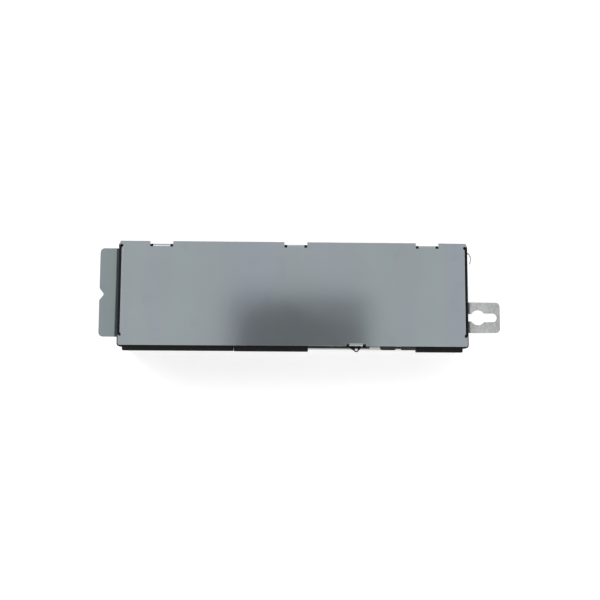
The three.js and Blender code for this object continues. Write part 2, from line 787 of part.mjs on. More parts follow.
function roller(radius, bore, x, y, z) {
  const half = rollerWidth / 2;
  const rim = radius - rollerChamfer;
  const edge = half - rollerChamfer;
  const section = [[bore, -half], [rim, -half], [radius, -edge], [radius, edge], [rim, half], [bore, half]];
  const profile = section.map(([r, along]) => new THREE.Vector2(r, along));
  profile.push(profile[0].clone());
  const geometry = new THREE.LatheGeometry(profile, roundSides);
  geometry.rotateZ(-Math.PI / 2);
  geometry.translate(x, y, z);
  return solid(geometry);
}

function bush(side, y) {
  const face = side * (plateInner - fitGap);
  const inner = face - side * bushFlange;
  const outer = side * (plateOuter + bushProud);
  const hole = rodX(shaftRadius + runGap, [inner - side, outer + side], y, shaftZ);
  return rodX(bushRadius + bushFlangeReach, [inner, face], y, shaftZ)
    .add(rodX(bushRadius, [face, outer], y, shaftZ))
    .subtract(hole);
}

function driveShaft(prefix, y, rightEnd) {
  const leftEnd = -(plateOuter + shaftOverhang);
  piece(`${prefix}_drive_shaft`, rodX(shaftRadius, [leftEnd, rightEnd], y, shaftZ), brightSteel);
  rollerPlaces.forEach((x, index) => {
    const body = roller(driveRollerRadius, shaftRadius + fitGap, x, y, shaftZ);
    piece(`${prefix}_drive_roller_${index + 1}`, body, rubber);
  });
  for (const { side, label } of sides) {
    piece(`${prefix}_${label}_bush`, bush(side, y), bronze);
  }
}

function driveTrain() {
  const inputX = plateOuter + inputGearGap;
  const inputEnd = inputX + inputGearWidth;
  driveShaft("front", -shaftY, plateOuter + shaftOverhang);
  driveShaft("rear", shaftY, inputEnd + inputShaftProud);
  // The idler has a gap where each shaft gear has a tooth.
  piece("front_shaft_gear", hubbedGear(shaftGearTeeth, 0, -shaftY), whitePlastic);
  piece("rear_shaft_gear", hubbedGear(shaftGearTeeth, 0, shaftY), whitePlastic);
  piece("idler_gear", hubbedGear(idlerGearTeeth, Math.PI / idlerGearTeeth, 0), whitePlastic);
  const input = gearBlank(inputGearTeeth, [inputX, inputEnd], 0, shaftRadius + fitGap);
  piece("input_gear", input.translate([0, shaftY, shaftZ]), whitePlastic);
}

// ---------- hinge ----------

// The lift spring: a coil round the hinge boss, one leg under the upper unit's edge
// and one leg that passes out through the right side plate and hooks forward.
function liftSpring() {
  const perTurn = 10;
  const stepsPerPoint = 1.5;
  const steps = Math.round(springTurns * perTurn);
  const legZ = cheekBottom - springWire - springFootGap;
  const points = springInnerLeg.map(({ ahead, up }) => [springX, hingeY - ahead, legZ + up]);
  points[0][0] = cheekInner + springFootInset;
  for (let step = 0; step <= steps; step += 1) {
    const angle = (step * 2 * Math.PI) / perTurn - Math.PI / 2;
    const x = springX + (springPitch * step) / perTurn;
    points.push([x, hingeY + springRadius * Math.cos(angle), hingeZ + springRadius * Math.sin(angle)]);
  }
  points.push([plateInner - springEntry.inside, springLegY + springEntry.behind, springLegZ]);
  points.push([plateInner, springLegY, springLegZ]);
  points.push([plateOuter, springLegY, springLegZ]);
  for (const { out, ahead, up } of springOuterLeg) {
    points.push([plateOuter + out, springLegY - ahead, springLegZ + up]);
  }
  return wire(points, springWire, Math.round(points.length * stepsPerPoint));
}

function hinge() {
  for (const { side, label } of sides) {
    const ends = [side * (bossEnd - hingePinGrip), side * (plateOuter + hingePinProud)];
    piece(`${label}_hinge_pin`, rodX(hingePinRadius, ends, hingeY, hingeZ), brightSteel);
  }
  piece("lift_spring", liftSpring(), brightSteel);
}

// ---------- upper unit ----------

function upperGuide() {
  const flat = innerEdge - guideFlare;
  const under = upperPath;
  const top = under + guideSheet;
  const section = outline([
    [-innerEdge, under + frontFlareRise],
    [-flat, under],
    [flat, under],
    [innerEdge, under + backFlareRise],
    [innerEdge, top + backFlareRise],
    [flat - upperGuideKnee, top],
    [upperGuideKnee - flat, top],
    [-innerEdge, top + frontFlareRise],
  ]);
  const body = alongX(section, [-pathSide, pathSide]);
  return glassWindow(rollerWindows(body, pinchRollerRadius, pinchZ, under, top), under, top);
}

function frameCheek(side) {
  const faces = [side * cheekInner, side * cheekOuter];
  const cut = [side * (cheekInner - past), side * (cheekOuter + past)];
  const front = latchY - cheekNose;
  const back = coverEdge - railInset;
  let cheek = block(faces, [front, back], [cheekBottom, cheekTop]);
  for (const y of [-shaftY, shaftY]) {
    const half = pinchBlockHalf + fitGap;
    cheek = cheek.subtract(block(cut, [y - half, y + half], [cheekBottom - past, slotTop]));
  }
  const bossFaces = [side * cheekInner, side * bossEnd];
  const boreFaces = [side * (cheekInner - past), side * (bossEnd + past)];
  return cheek
    .add(rodX(hingeBossRadius, bossFaces, hingeY, hingeZ))
    .subtract(rodX(hingePinRadius + runGap, boreFaces, hingeY, hingeZ))
    .subtract(rodX(latchShaftRadius + runGap, cut, latchY, latchZ));
}

function upperFrame() {
  const reach = [-cheekInner - past, cheekInner + past];
  const railBack = coverEdge - railInset;
  const railFront = latchY - cheekNose;
  const crossBack = railBack - crossRailInset;
  const frontRailTop = latchZ - latchShaftRadius - railToLatch;
  const backRail = block(reach, [railBack - railSheet, railBack], [cheekBottom + backRailRise, cheekTop]);
  const frontRailZs = [cheekBottom + frontRailRise, frontRailTop];
  const frontRail = block(reach, [railFront, railFront + railSheet], frontRailZs);
  const crossRail = block(reach, [crossBack - railSheet, crossBack], [slotTop, cheekTop]);
  return frameCheek(-1).add(frameCheek(1)).add(backRail).add(frontRail).add(crossRail);
}

function controlBoard() {
  const half = coverSide - boardMargin;
  const top = boardZ + boardSheet;
  const front = boardFrontInset - coverEdge;
  const back = coverEdge - boardBackInset;
  const shape = roundedRectangle(-half, half, front, back, boardCorner);
  let board = alongZ(shape, [boardZ, top]);
  for (const { x, y, length, depth, height } of boardComponents) {
    const xs = [x - length / 2, x + length / 2];
    const ys = [y - depth / 2, y + depth / 2];
    board = board.add(block(xs, ys, [top - rooted, top + height]));
  }
  return board;
}

// A connector stands on the board's front edge and reaches out past the cover. A tongue
// stands in its mouth where it is tall enough to hold one.
function connector(name, xs, { reach, height }, material) {
  const low = boardZ + boardSheet + fitGap;
  const high = low + height;
  const front = -coverEdge - reach;
  const floor = front + connectorCavity;
  const mouthX = [xs[0] + connectorWall, xs[1] - connectorWall];
  const mouthZ = [low + connectorWall, high - connectorWall];
  let body = block(xs, [front, connectorDepth - coverEdge], [low, high]);
  body = body.subtract(block(mouthX, [front - past, floor], mouthZ));
  const tongue = (height - 2 * connectorWall) / 2;
  if (tongue > connectorWall) {
    const middle = (low + high) / 2;
    const tongueX = [xs[0] + connectorTongueInset, xs[1] - connectorTongueInset];
    const tongueY = [front + connectorTongueSetback, floor + rooted];
    body = body.add(block(tongueX, tongueY, [middle - tongue / 2, middle + tongue / 2]));
  }
  piece(name, body, material, upperUnit);
}

function connectors() {
  connector("wide_connector", [wideConnectorStart, wideConnectorEnd], wideConnector, blackPlastic);
  connector("middle_connector", [middleConnectorStart, middleConnectorEnd], middleConnector, blackPlastic);
  const rightStart = rightConnectorEnd - rightConnector.length;
  connector("right_connector", [rightStart, rightConnectorEnd], rightConnector, blackPlastic);
  let x = frontTabX;
  for (const socket of shieldedSockets) {
    x += socket.gap;
    connector(socket.name, [x, x + socket.length], socket, shellSteel);
    x += socket.length;
  }
}

function upperPieces() {
  const glassTop = upperPath + guideSheet;
  const sensorLow = glassTop + fitGap;
  piece("top_cover", topCover(), coatedSteel, upperUnit);
  piece("upper_bezel", upperBezel(), blackPlastic, upperUnit);
  piece("upper_frame", upperFrame(), blackPlastic, upperUnit);
  piece("upper_guide", upperGuide(), blackPlastic, upperUnit);
  piece("upper_sensor_glass", sensorBar(glassLength, upperPath + glassSetback, glassTop), glass, upperUnit);
  const sensorLength = glassLength - 2 * sensorEndInset;
  const sensor = sensorBar(sensorLength, sensorLow, sensorLow + upperSensorHeight);
  piece("upper_image_sensor", sensor, greyPlastic, upperUnit);
  piece("control_board", controlBoard(), boardGreen, upperUnit);
  connectors();
}

// ---------- pinch rollers ----------

function pinchSpring(x, y) {
  const perTurn = 8;
  const steps = pinchSpringTurns * perTurn;
  const low = springSeat + pinchSpringWire;
  const rise = pinchSpringLength - fitGap - 2 * pinchSpringWire;
  const points = [];
  for (let step = 0; step <= steps; step += 1) {
    const angle = (step * 2 * Math.PI) / perTurn;
    const z = low + (rise * step) / steps;
    points.push([x + pinchSpringRadius * Math.cos(angle), y + pinchSpringRadius * Math.sin(angle), z]);
  }
  return wire(points, pinchSpringWire, steps);
}

function pinchSet(prefix, y) {
  const reach = cheekOuter + pinchShaftOverhang;
  const shaft = rodX(pinchShaftRadius, [-reach, reach], y, pinchZ);
  piece(`${prefix}_pinch_shaft`, shaft, brightSteel, upperUnit);
  rollerPlaces.forEach((x, index) => {
    const body = roller(pinchRollerRadius, pinchShaftRadius + fitGap, x, y, pinchZ);
    piece(`${prefix}_pinch_roller_${index + 1}`, body, greyPlastic, upperUnit);
  });
  for (const { side, label } of sides) {
    const faces = [side * (cheekInner - pinchBlockProud), side * (cheekOuter + pinchBlockProud)];
    const boreXs = [faces[0] - side * past, faces[1] + side * past];
    const bore = rodX(pinchShaftRadius + runGap, boreXs, y, pinchZ);
    const body = block(faces, [y - pinchBlockHalf, y + pinchBlockHalf], [cheekBottom, pinchBlockTop]);
    piece(`${prefix}_${label}_pinch_block`, body.subtract(bore), whitePlastic, upperUnit);
    const spring = pinchSpring((faces[0] + faces[1]) / 2, y);
    piece(`${prefix}_${label}_pinch_spring`, spring, brightSteel, upperUnit);
  }
}

// ---------- latch ----------

// The hook's outline where it holds the stud, turned back by the release angle.
function latchHook(side) {
  const xs = [side * (hookX - hookSheet / 2), side * (hookX + hookSheet / 2)];
  const throat = keeperSetback - keeperRadius - latchPlay;
  const noseTop = keeperZ - latchZ - keeperRadius - latchPlay;
  const noseLow = noseTop - hookNose;
  const back = throat - hookArm;
  const head = hookHead;
  const tip = keeperSetback + hookLip;
  const section = outline([
    [back + hookChamfer, noseLow],
    [tip - hookLead.length, noseLow],
    [tip, noseTop - hookLead.height],
    [tip, noseTop],
    [throat, noseTop],
    [throat, -head - hookThroatRise],
    [head, hookHeadNotch - head / 2],
    [head, head / 2],
    [head / 2, head],
    [-head / 2, head],
    [-head, head / 2],
    [-head, -head / 2],
    [back, -head - hookBackRise],
    [back, noseLow + hookChamfer],
  ]);
  const boreXs = [xs[0] - side * past, xs[1] + side * past];
  const bore = rodX(latchShaftRadius + fitGap, boreXs, 0, 0);
  const hook = alongX(section, xs).subtract(bore);
  return hook.rotate([-releaseTurn, 0, 0]).translate([0, latchY, latchZ]);
}

// The tongue narrows past the cover's edge to a round end about its eye.
function leverTongue(xs, eyeX, eyeY) {
  const shoulder = -coverEdge - leverShoulder;
  const shape = new THREE.Shape();
  shape.moveTo(xs[1], latchY);
  shape.lineTo(xs[0], latchY);
  shape.lineTo(xs[0], shoulder);
  shape.absarc(eyeX, eyeY, leverTip, (7 * Math.PI) / 6, (11 * Math.PI) / 6, false);
  shape.lineTo(xs[1], shoulder);
  return shape;
}

function releaseLever() {
  const xs = [frontTabX - leverWidth / 2, frontTabX + leverWidth / 2];
  const low = latchZ + leverRise;
  const high = low + plateSheet;
  const eyeX = frontTabX + leverEyeOffset;
  const eyeY = leverTip - coverEdge - leverReach;
  const tongue = alongZ(leverTongue(xs, eyeX, eyeY), [low, high]);
  const eye = rodZ(leverEye, [low - past, high + past], eyeX, eyeY, studSides);
  const hub = rodX(latchShaftRadius + leverHubWall, xs, latchY, latchZ);
  const bore = rodX(latchShaftRadius + fitGap, [xs[0] - past, xs[1] + past], latchY, latchZ);
  return hub.add(tongue).subtract(bore).subtract(eye);
}

function latch() {
  const end = hookX + latchShaftOverhang;
  piece("latch_shaft", rodX(latchShaftRadius, [-end, end], latchY, latchZ), brightSteel, upperUnit);
  for (const { side, label } of sides) {
    piece(`${label}_latch_hook`, latchHook(side), platedSteel, upperUnit);
  }
  piece("release_lever", releaseLever(), blackPlastic, upperUnit);
}

lowerUnit();
driveTrain();
hinge();
upperPieces();
pinchSet("front", -shaftY);
pinchSet("rear", shaftY);
latch();

export default model;
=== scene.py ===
import json
import math

import bpy
from mathutils import Matrix, Vector


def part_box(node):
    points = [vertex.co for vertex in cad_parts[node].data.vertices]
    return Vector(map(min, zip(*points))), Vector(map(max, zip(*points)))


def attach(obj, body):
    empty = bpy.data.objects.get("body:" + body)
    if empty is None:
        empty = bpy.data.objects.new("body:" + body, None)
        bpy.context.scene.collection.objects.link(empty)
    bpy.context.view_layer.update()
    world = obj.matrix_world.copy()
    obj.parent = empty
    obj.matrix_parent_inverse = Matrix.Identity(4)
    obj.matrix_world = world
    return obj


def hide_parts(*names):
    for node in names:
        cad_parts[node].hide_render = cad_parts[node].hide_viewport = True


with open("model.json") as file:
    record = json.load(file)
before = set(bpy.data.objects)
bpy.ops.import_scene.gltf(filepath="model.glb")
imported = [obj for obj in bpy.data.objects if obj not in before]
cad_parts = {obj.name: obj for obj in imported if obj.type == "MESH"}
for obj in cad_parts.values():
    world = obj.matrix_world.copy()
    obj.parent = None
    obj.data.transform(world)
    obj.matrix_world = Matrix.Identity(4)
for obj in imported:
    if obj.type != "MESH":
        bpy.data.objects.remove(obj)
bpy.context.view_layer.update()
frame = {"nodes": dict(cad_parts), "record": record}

bl_info = {
    "name": "Bill validator",
    "version": (1, 0, 0),
    "blender": (4, 5, 0),
    "location": "View3D > Sidebar > Bill validator",
    "description": "Finishes the pieces of a sheet-steel bill validator around its CAD frame",
    "category": "Object",
}

MM = 0.001
BODY_OF = {
    node: body
    for body, nodes in frame["record"]["behaviour"]["bodies"].items()
    for node in nodes
}
SLOT_OF = {part["node"]: part["material_slot"] for part in frame["record"]["subparts"]}
SIDES = ("left", "right")
SHAFTS = ("front", "rear")
ROLLERS = (1, 2, 3)
MERGE = 0.002 * MM
FLAT = math.radians(0.3)
SMOOTH = math.radians(38)
WIRE_SMOOTH = math.radians(80)
CORNER = math.radians(34)  # an edge that turns less than this isn't rounded
ROUND = 72  # sides of a turned piece
SCREW_SIDES = 48

# Shafts and what runs on them
SHAFT_BORE = 3.15 * MM  # radius of the bores on the drive shafts
PINCH_BORE = 2.15 * MM
TYRE = 2.3 * MM  # thickness of a drive roller's rubber
TYRE_GAP = 0.02 * MM  # web to tyre, so that their faces don't meet
HUB_WALL = 1.4 * MM  # of the sleeve round a drive roller's bore
HUB_WEB_INSET = 2 * MM  # drive roller's end to its web
PINCH_RIM = 1.6 * MM
PINCH_WALL = 1.3 * MM  # of the sleeve round a pinch roller's bore
PINCH_WEB = 4 * MM  # thickness of a pinch roller's web
PINCH_SLEEVE_INSET = 1 * MM  # pinch roller's end to its sleeve
WEB_LAP = 0.1 * MM  # how far a web runs into its sleeve or rim
BUSH_FLANGE = 1.2 * MM
BUSH_REACH = 1.6 * MM  # flange past the sleeve
CLIP = 0.5 * MM  # thickness of a shaft clip
CLIP_INSET = 0.4 * MM  # clip to the end of its shaft
CLIP_GROOVE = 0.3 * MM
CLIP_REACH = 1.6 * MM

# Connectors
CONNECTOR_WALL = 1.0 * MM
CONTACT_SHEET = 0.15 * MM
CONTACT_START = 0.5 * MM  # mouth to the contacts' tips
CONTACT_END = 4.8 * MM  # mouth to their inner ends
CONTACT_MARGIN = 2 * MM  # end of the housing to the first contact, at least
RIB_WIDTH = 0.9 * MM
RIB_INSET = 0.3 * MM
RIB_MARGIN = 3 * MM  # end of the housing to its first rib
RIB_ROOT = 0.02 * MM  # how deep a rib runs into the housing

# Tray screws
SCREW_RISE = 5.6 * MM  # above the tray's underside
SCREW_SEAT = 1.5 * MM  # tray's end to the side plate's outer face
SCREW_SPREAD = 0.82  # of the tray's half depth
RECESS_WIDTH = 0.6 * MM
RECESS_DEPTH = 0.55  # of the head's height
RECESS_LENGTH = 1.15  # of the head's radius

ROUNDING = {
    "shaft": 0.35 * MM,
    "clip": 0.1 * MM,
    "tyre": 0.6 * MM,
    "hub_web": 0.2 * MM,
    "hub_sleeve": 0.25 * MM,
    "pinch_rim": 0.5 * MM,
    "pinch_web": 0.15 * MM,
    "pinch_sleeve": 0.2 * MM,
    "bush_flange": 0.2 * MM,
    "bush_sleeve": 0.15 * MM,
    "contact": 0.04 * MM,
    "rib": 0.08 * MM,
    "screw": 0.35 * MM,
}

# Looks
WEAR_REACH = 0.35 * MM  # edge to the end of its wear
PACKAGE_START = 0.05 * MM  # board's face to where the packages' finish begins

# Stage, in metres and degrees; the camera's place is in its own turned axes, above the cover's top
FLOOR_SIZE = 6
FLOOR_GAP = 0.2 * MM
FLOOR_GLOW = 0.3  # the floor is lit from below, as a light table is
FLAG_PLACE = (0.0175, -0.003)
FLAG_RISE = 0.5
FLAG_COLOUR = (0.025, 0.025, 0.025)
FLAG_SIZE = (0.169, 0.114, 1)
SKY_STRENGTH = 0.82
KEY_LIGHT = {"place": (-0.7, 0.9, 1.3), "size": (1.2, 0.9), "power": 9.0}
FILL_LIGHT = {"place": (0.9, -0.8, 1.0), "size": (1.0, 1.0), "power": 4.0}
SENSOR_WIDTH = 36.0
LENS = 55.7
CAMERA_TURNS = (("Z", -0.26), ("X", -6.39), ("Y", 1.5))
CAMERA_PLACE = (0.00435, -0.00445, 0.6491)


# ---------- modelling ----------


def deselect():
    if bpy.context.mode != "OBJECT":
        bpy.ops.object.mode_set(mode="OBJECT")
    bpy.ops.object.select_all(action="DESELECT")


def activate(piece):
    deselect()
    piece.select_set(True)
    bpy.context.view_layer.objects.active = piece


def edit(piece):
    activate(piece)
    bpy.ops.object.mode_set(mode="EDIT")
    bpy.ops.mesh.select_all(action="SELECT")


def leave_edit():
    bpy.ops.object.mode_set(mode="OBJECT")


def settle(piece, name):
    """Gives a new primitive its name and puts its place into its mesh."""
    activate(piece)
    piece.name = name
    piece.data.name = name
    bpy.ops.object.transform_apply(location=True, rotation=True, scale=True)


def smooth(piece, angle=SMOOTH):
    """Smooth shading that leaves flat faces flat."""
    activate(piece)
    bpy.ops.object.shade_smooth_by_angle(angle=angle)
    modify(piece, "WEIGHTED_NORMAL", keep_sharp=True, weight=100)


def outward(piece):
    edit(piece)
    bpy.ops.mesh.remove_doubles(threshold=MERGE)
    bpy.ops.mesh.normals_make_consistent(inside=False)
    leave_edit()


def modify(piece, kind, **settings):
    activate(piece)
    modifier = piece.modifiers.new(kind.title(), kind)
    for key, value in settings.items():
        setattr(modifier, key, value)
    bpy.ops.object.modifier_apply(modifier=modifier.name)


def round_edges(piece, width, segments=2):
    modify(
        piece,
        "BEVEL",
        width=width,
        segments=segments,
        limit_method="ANGLE",
        angle_limit=CORNER,
    )


def finish(piece, body, look, stands_for=()):
    """Gives a finished piece its material and its body, and hides the CAD nodes it stands for."""
    piece.data.materials.clear()
    piece.data.materials.append(look)
    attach(piece, body)
    if stands_for:
        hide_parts(*stands_for)
    return piece


def merged_copy(node, name):
    """A copy of a CAD node's mesh with its loose triangles merged into whole faces."""
    piece = bpy.data.objects.new(name, frame["nodes"][node].data.copy())
    bpy.context.scene.collection.objects.link(piece)
    activate(piece)
    bpy.ops.mesh.customdata_custom_splitnormals_clear()
    edit(piece)
    bpy.ops.mesh.remove_doubles(threshold=MERGE)
    bpy.ops.mesh.dissolve_limited(angle_limit=FLAT)
    leave_edit()
    return piece


def refine(node, suffix, edge, look=None):
    """A CAD node's shape with its edges broken as a press or a mould leaves them."""
    piece = merged_copy(node, f"{node}_{suffix}")
    round_edges(piece, edge)
    smooth(piece)
    return finish(piece, BODY_OF[node], look or material(SLOT_OF[node]), [node])


def wire_of(node):
    """A CAD node's many-sided wire made round."""
    piece = bpy.data.objects.new(f"{node}_wire", frame["nodes"][node].data.copy())
    bpy.context.scene.collection.objects.link(piece)
    activate(piece)
    bpy.ops.mesh.customdata_custom_splitnormals_clear()
    edit(piece)
    bpy.ops.mesh.remove_doubles(threshold=MERGE)
    leave_edit()
    modify(piece, "SUBSURF", levels=2, render_levels=2)
    modify(piece, "DISPLACE", strength=sizes().wire_growth, mid_level=0.0)
    smooth(piece, WIRE_SMOOTH)
    return finish(piece, BODY_OF[node], material("bright_steel"), [node])


def bar_along_x(name, radius, xs, y, z, chamfer, sides=ROUND):
    """A turned bar with chamfered ends."""
    bpy.ops.mesh.primitive_cylinder_add(
        vertices=sides,
        radius=radius,
        depth=abs(xs[1] - xs[0]),
        location=((xs[0] + xs[1]) / 2, y, z),
        rotation=(0, math.pi / 2, 0),
    )
    piece = bpy.context.object
    settle(piece, name)
    round_edges(piece, chamfer)
    return piece


def ring_along_x(name, xs, inner, outer, y, z, chamfer, sides=ROUND):
    """A turned ring: its section, with chamfered corners, is spun round X."""
    deselect()
    bpy.ops.mesh.primitive_plane_add(size=1, location=(0, 0, 0))
    piece = bpy.context.object
    bpy.ops.object.mode_set(mode="EDIT")
    bpy.ops.transform.resize(value=(abs(xs[1] - xs[0]), outer - inner, 1))
    bpy.ops.transform.translate(value=((xs[0] + xs[1]) / 2, (inner + outer) / 2, 0))
    bpy.ops.mesh.bevel(affect="VERTICES", offset=chamfer, segments=2)
    bpy.ops.mesh.select_all(action="SELECT")
    bpy.ops.mesh.delete(type="ONLY_FACE")
    bpy.ops.mesh.select_all(action="SELECT")
    bpy.ops.mesh.spin(steps=sides, angle=2 * math.pi, center=(0, 0, 0), axis=(1, 0, 0))
    bpy.ops.mesh.select_all(action="SELECT")
    bpy.ops.transform.translate(value=(0, y, z))
    leave_edit()
    settle(piece, name)
    outward(piece)
    return piece


def join(pieces):
    activate(pieces[0])
    for piece in pieces[1:]:
        piece.select_set(True)
    bpy.ops.object.join()
    return pieces[0]


def copy_to(piece, name, offset):
    """A copy with a mesh of its own, moved by offset."""
    mesh = piece.data.copy()
    mesh.transform(Matrix.Translation(offset))
    made = bpy.data.objects.new(name, mesh)
    bpy.context.scene.collection.objects.link(made)
    return made


def centre(node):
    low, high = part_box(node)
    return (low + high) / 2


def block(name, low, high, edge):
    """A block between two corners with its edges broken."""
    size = Vector(high) - Vector(low)
    bpy.ops.mesh.primitive_cube_add(size=1, location=(Vector(high) + Vector(low)) / 2)
    piece = bpy.context.object
    bpy.ops.object.mode_set(mode="EDIT")
    bpy.ops.transform.resize(value=size)
    leave_edit()
    settle(piece, name)
    round_edges(piece, edge)
    return piece


# ---------- shader groups ----------


class Nodes:
    """Builds a node tree: each call adds a node, sets its inputs and links what is linked."""

    def __init__(self, tree):
        self.tree = tree

    def add(self, kind, inputs=None, **settings):
        node = self.tree.nodes.new(kind)
        for key, value in settings.items():
            setattr(node, key, value)
        for key, value in (inputs or {}).items():
            if isinstance(value, bpy.types.NodeSocket):
                self.tree.links.new(value, node.inputs[key])
            else:
                node.inputs[key].default_value = value
        return node

    def link(self, source, target):
        self.tree.links.new(source, target)

    def ramp(self, factor, stops):
        node = self.add("ShaderNodeValToRGB", {"Fac": factor})
        elements = node.color_ramp.elements
        for element, (place, colour) in zip(elements, (stops[0], stops[-1])):
            element.position = place
            element.color = colour
        for place, colour in stops[1:-1]:
            elements.new(place).color = colour
        return node.outputs["Color"]

    def span(self, value, source, target):
        """Maps a value from one range onto another."""
        low, high = source
        to_low, to_high = target
        node = self.add(
            "ShaderNodeMapRange",
            {"Value": value, "From Min": low, "From Max": high, "To Min": to_low, "To Max": to_high},
        )
        return node.outputs["Result"]

    def math(self, operation, first, second):
        return self.add("ShaderNodeMath", {0: first, 1: second}, operation=operation).outputs[0]

    def mix(self, factor, first, second, blend="MIX"):
        node = self.add("ShaderNodeMix", data_type="RGBA", blend_type=blend)
        sockets = {"Factor_Float": factor, "A_Color": first, "B_Color": second}
        for key, value in sockets.items():
            socket = next(s for s in node.inputs if s.identifier == key)
            if isinstance(value, bpy.types.NodeSocket):
                self.link(value, socket)
            else:
                socket.default_value = value
        return next(s for s in node.outputs if s.identifier == "Result_Color")


def shader_group(name, inputs, outputs):
    tree = bpy.data.node_groups.new(name, "ShaderNodeTree")
    for label, default in inputs:
        socket = tree.interface.new_socket(name=label, in_out="INPUT", socket_type="NodeSocketFloat")
        socket.default_value = default
    for label in outputs:
        tree.interface.new_socket(name=label, in_out="OUTPUT", socket_type="NodeSocketFloat")
    nodes = Nodes(tree)
    return nodes, nodes.add("NodeGroupInput").outputs, nodes.add("NodeGroupOutput").inputs


def grain_group():
    """Fine and broad unevenness: Fine for bumps, Broad for colour and gloss."""
    nodes, given, out = shader_group(
        "surface_grain", [("Fine Scale", 900.0), ("Broad Scale", 30.0)], ["Fine", "Broad"]
    )
    place = nodes.add("ShaderNodeTexCoord").outputs["Object"]
    fine = nodes.add("ShaderNodeTexNoise", {"Vector": place, "Scale": given["Fine Scale"], "Detail": 3.0})
    broad = nodes.add("ShaderNodeTexNoise", {"Vector": place, "Scale": given["Broad Scale"], "Detail": 4.0})
    nodes.link(fine.outputs["Fac"], out["Fine"])
    nodes.link(broad.outputs["Fac"], out["Broad"])
    return nodes.tree


def wear_group():
    """Where edges are rubbed bright: a mask that noise breaks up."""
    nodes, given, out = shader_group("edge_wear", [("Amount", 0.5)], ["Mask"])
    place = nodes.add("ShaderNodeTexCoord").outputs["Object"]
    straight = nodes.add("ShaderNodeNewGeometry").outputs["Normal"]
    eased = nodes.add("ShaderNodeBevel", {"Radius": WEAR_REACH}, samples=6).outputs["Normal"]
    facing = nodes.add("ShaderNodeVectorMath", {0: straight, 1: eased}, operation="DOT_PRODUCT")
    edge = nodes.span(facing.outputs["Value"], (0.985, 0.88), (0.0, 1.0))
    patches = nodes.add("ShaderNodeTexNoise", {"Vector": place, "Scale": 260.0, "Detail": 5.0})
    broken = nodes.span(patches.outputs["Fac"], (0.42, 0.62), (0.0, 1.0))
    worn = nodes.math("MULTIPLY", edge, broken)
    nodes.link(nodes.math("MULTIPLY", worn, given["Amount"]), out["Mask"])
    return nodes.tree


def smudge_group():
    """Faint handling marks: a few soft dark spots, and a finer greasy film."""
    nodes, given, out = shader_group("smudges", [("Amount", 0.5)], ["Mask", "Film"])
    place = nodes.add("ShaderNodeTexCoord").outputs["Object"]
    spots = nodes.add("ShaderNodeTexNoise", {"Vector": place, "Scale": 75.0, "Detail": 2.0})
    mask = nodes.span(spots.outputs["Fac"], (0.62, 0.78), (0.0, 1.0))
    film = nodes.add("ShaderNodeTexNoise", {"Vector": place, "Scale": 22.0, "Detail": 6.0, "Distortion": 0.6})
    nodes.link(nodes.math("MULTIPLY", mask, given["Amount"]), out["Mask"])
    nodes.link(film.outputs["Fac"], out["Film"])
    return nodes.tree


GROUPS = {}


def shared(name):
    makers = {"grain": grain_group, "wear": wear_group, "smudges": smudge_group}
    if name not in GROUPS:
        GROUPS[name] = makers[name]()
    return GROUPS[name]


# ---------- materials ----------


def tone(colour, factor):
    return (*[min(1.0, c * factor) for c in colour[:3]], 1.0)


class Finish:
    """A material with a Principled shader and the shared groups at hand."""

    def __init__(self, name, **settings):
        self.material = bpy.data.materials.new(name)
        self.material.use_nodes = True
        tree = self.material.node_tree
        self.nodes = Nodes(tree)
        self.shader = tree.nodes["Principled BSDF"]
        for key, value in settings.items():
            self.shader.inputs[key.replace("_", " ")].default_value = value

    def group(self, name, **values):
        node = self.nodes.add("ShaderNodeGroup", node_tree=shared(name))
        for key, value in values.items():
            node.inputs[key.replace("_", " ")].default_value = value
        return node.outputs

    def set(self, key, value):
        self.nodes.link(value, self.shader.inputs[key])

    def bump(self, height, strength, distance):
        node = self.nodes.add(
            "ShaderNodeBump", {"Height": height, "Strength": strength, "Distance": distance}
        )
        self.set("Normal", node.outputs["Normal"])

    def stretched(self, scale, stretch, detail=3.0):
        """Noise drawn out by stretch along each axis."""
        nodes = self.nodes
        place = nodes.add("ShaderNodeTexCoord").outputs["Object"]
        mapped = nodes.add("ShaderNodeMapping", {"Vector": place, "Scale": stretch}).outputs["Vector"]
        noise = nodes.add("ShaderNodeTexNoise", {"Vector": mapped, "Scale": scale, "Detail": detail})
        return noise.outputs["Fac"]


def coated_steel(name, base):
    """Semi-gloss grey coat with very faint bands, smudges and rubbed edges."""
    made = Finish(name, Metallic=0.75, IOR=1.5)
    grain = made.group("grain", Fine_Scale=1300.0, Broad_Scale=16.0)
    smudges = made.group("smudges", Amount=0.5)
    wear = made.group("wear", Amount=0.55)
    bands = made.stretched(34.0, (1.0, 0.12, 0.3), detail=2.0)
    bluish = (base[0] * 0.99, base[1] * 0.985, base[2] * 1.03, 1.0)
    greenish = (base[0] * 1.0, base[1] * 1.02, base[2] * 0.99, 1.0)
    colour = made.nodes.ramp(bands, [(0.36, bluish), (0.5, (*base, 1.0)), (0.64, greenish)])
    cloud = made.nodes.ramp(grain["Broad"], [(0.3, (0.97, 0.97, 0.97, 1)), (0.7, (1.02, 1.02, 1.02, 1))])
    colour = made.nodes.mix(1.0, colour, cloud, "MULTIPLY")
    colour = made.nodes.mix(smudges["Mask"], colour, tone(base, 0.9))
    made.set("Base Color", made.nodes.mix(wear["Mask"], colour, (0.62, 0.64, 0.65, 1.0)))
    made.set("Roughness", made.nodes.span(smudges["Film"], (0.3, 0.7), (0.13, 0.17)))
    made.bump(grain["Fine"], strength=0.06, distance=0.02 * MM)
    return made.material


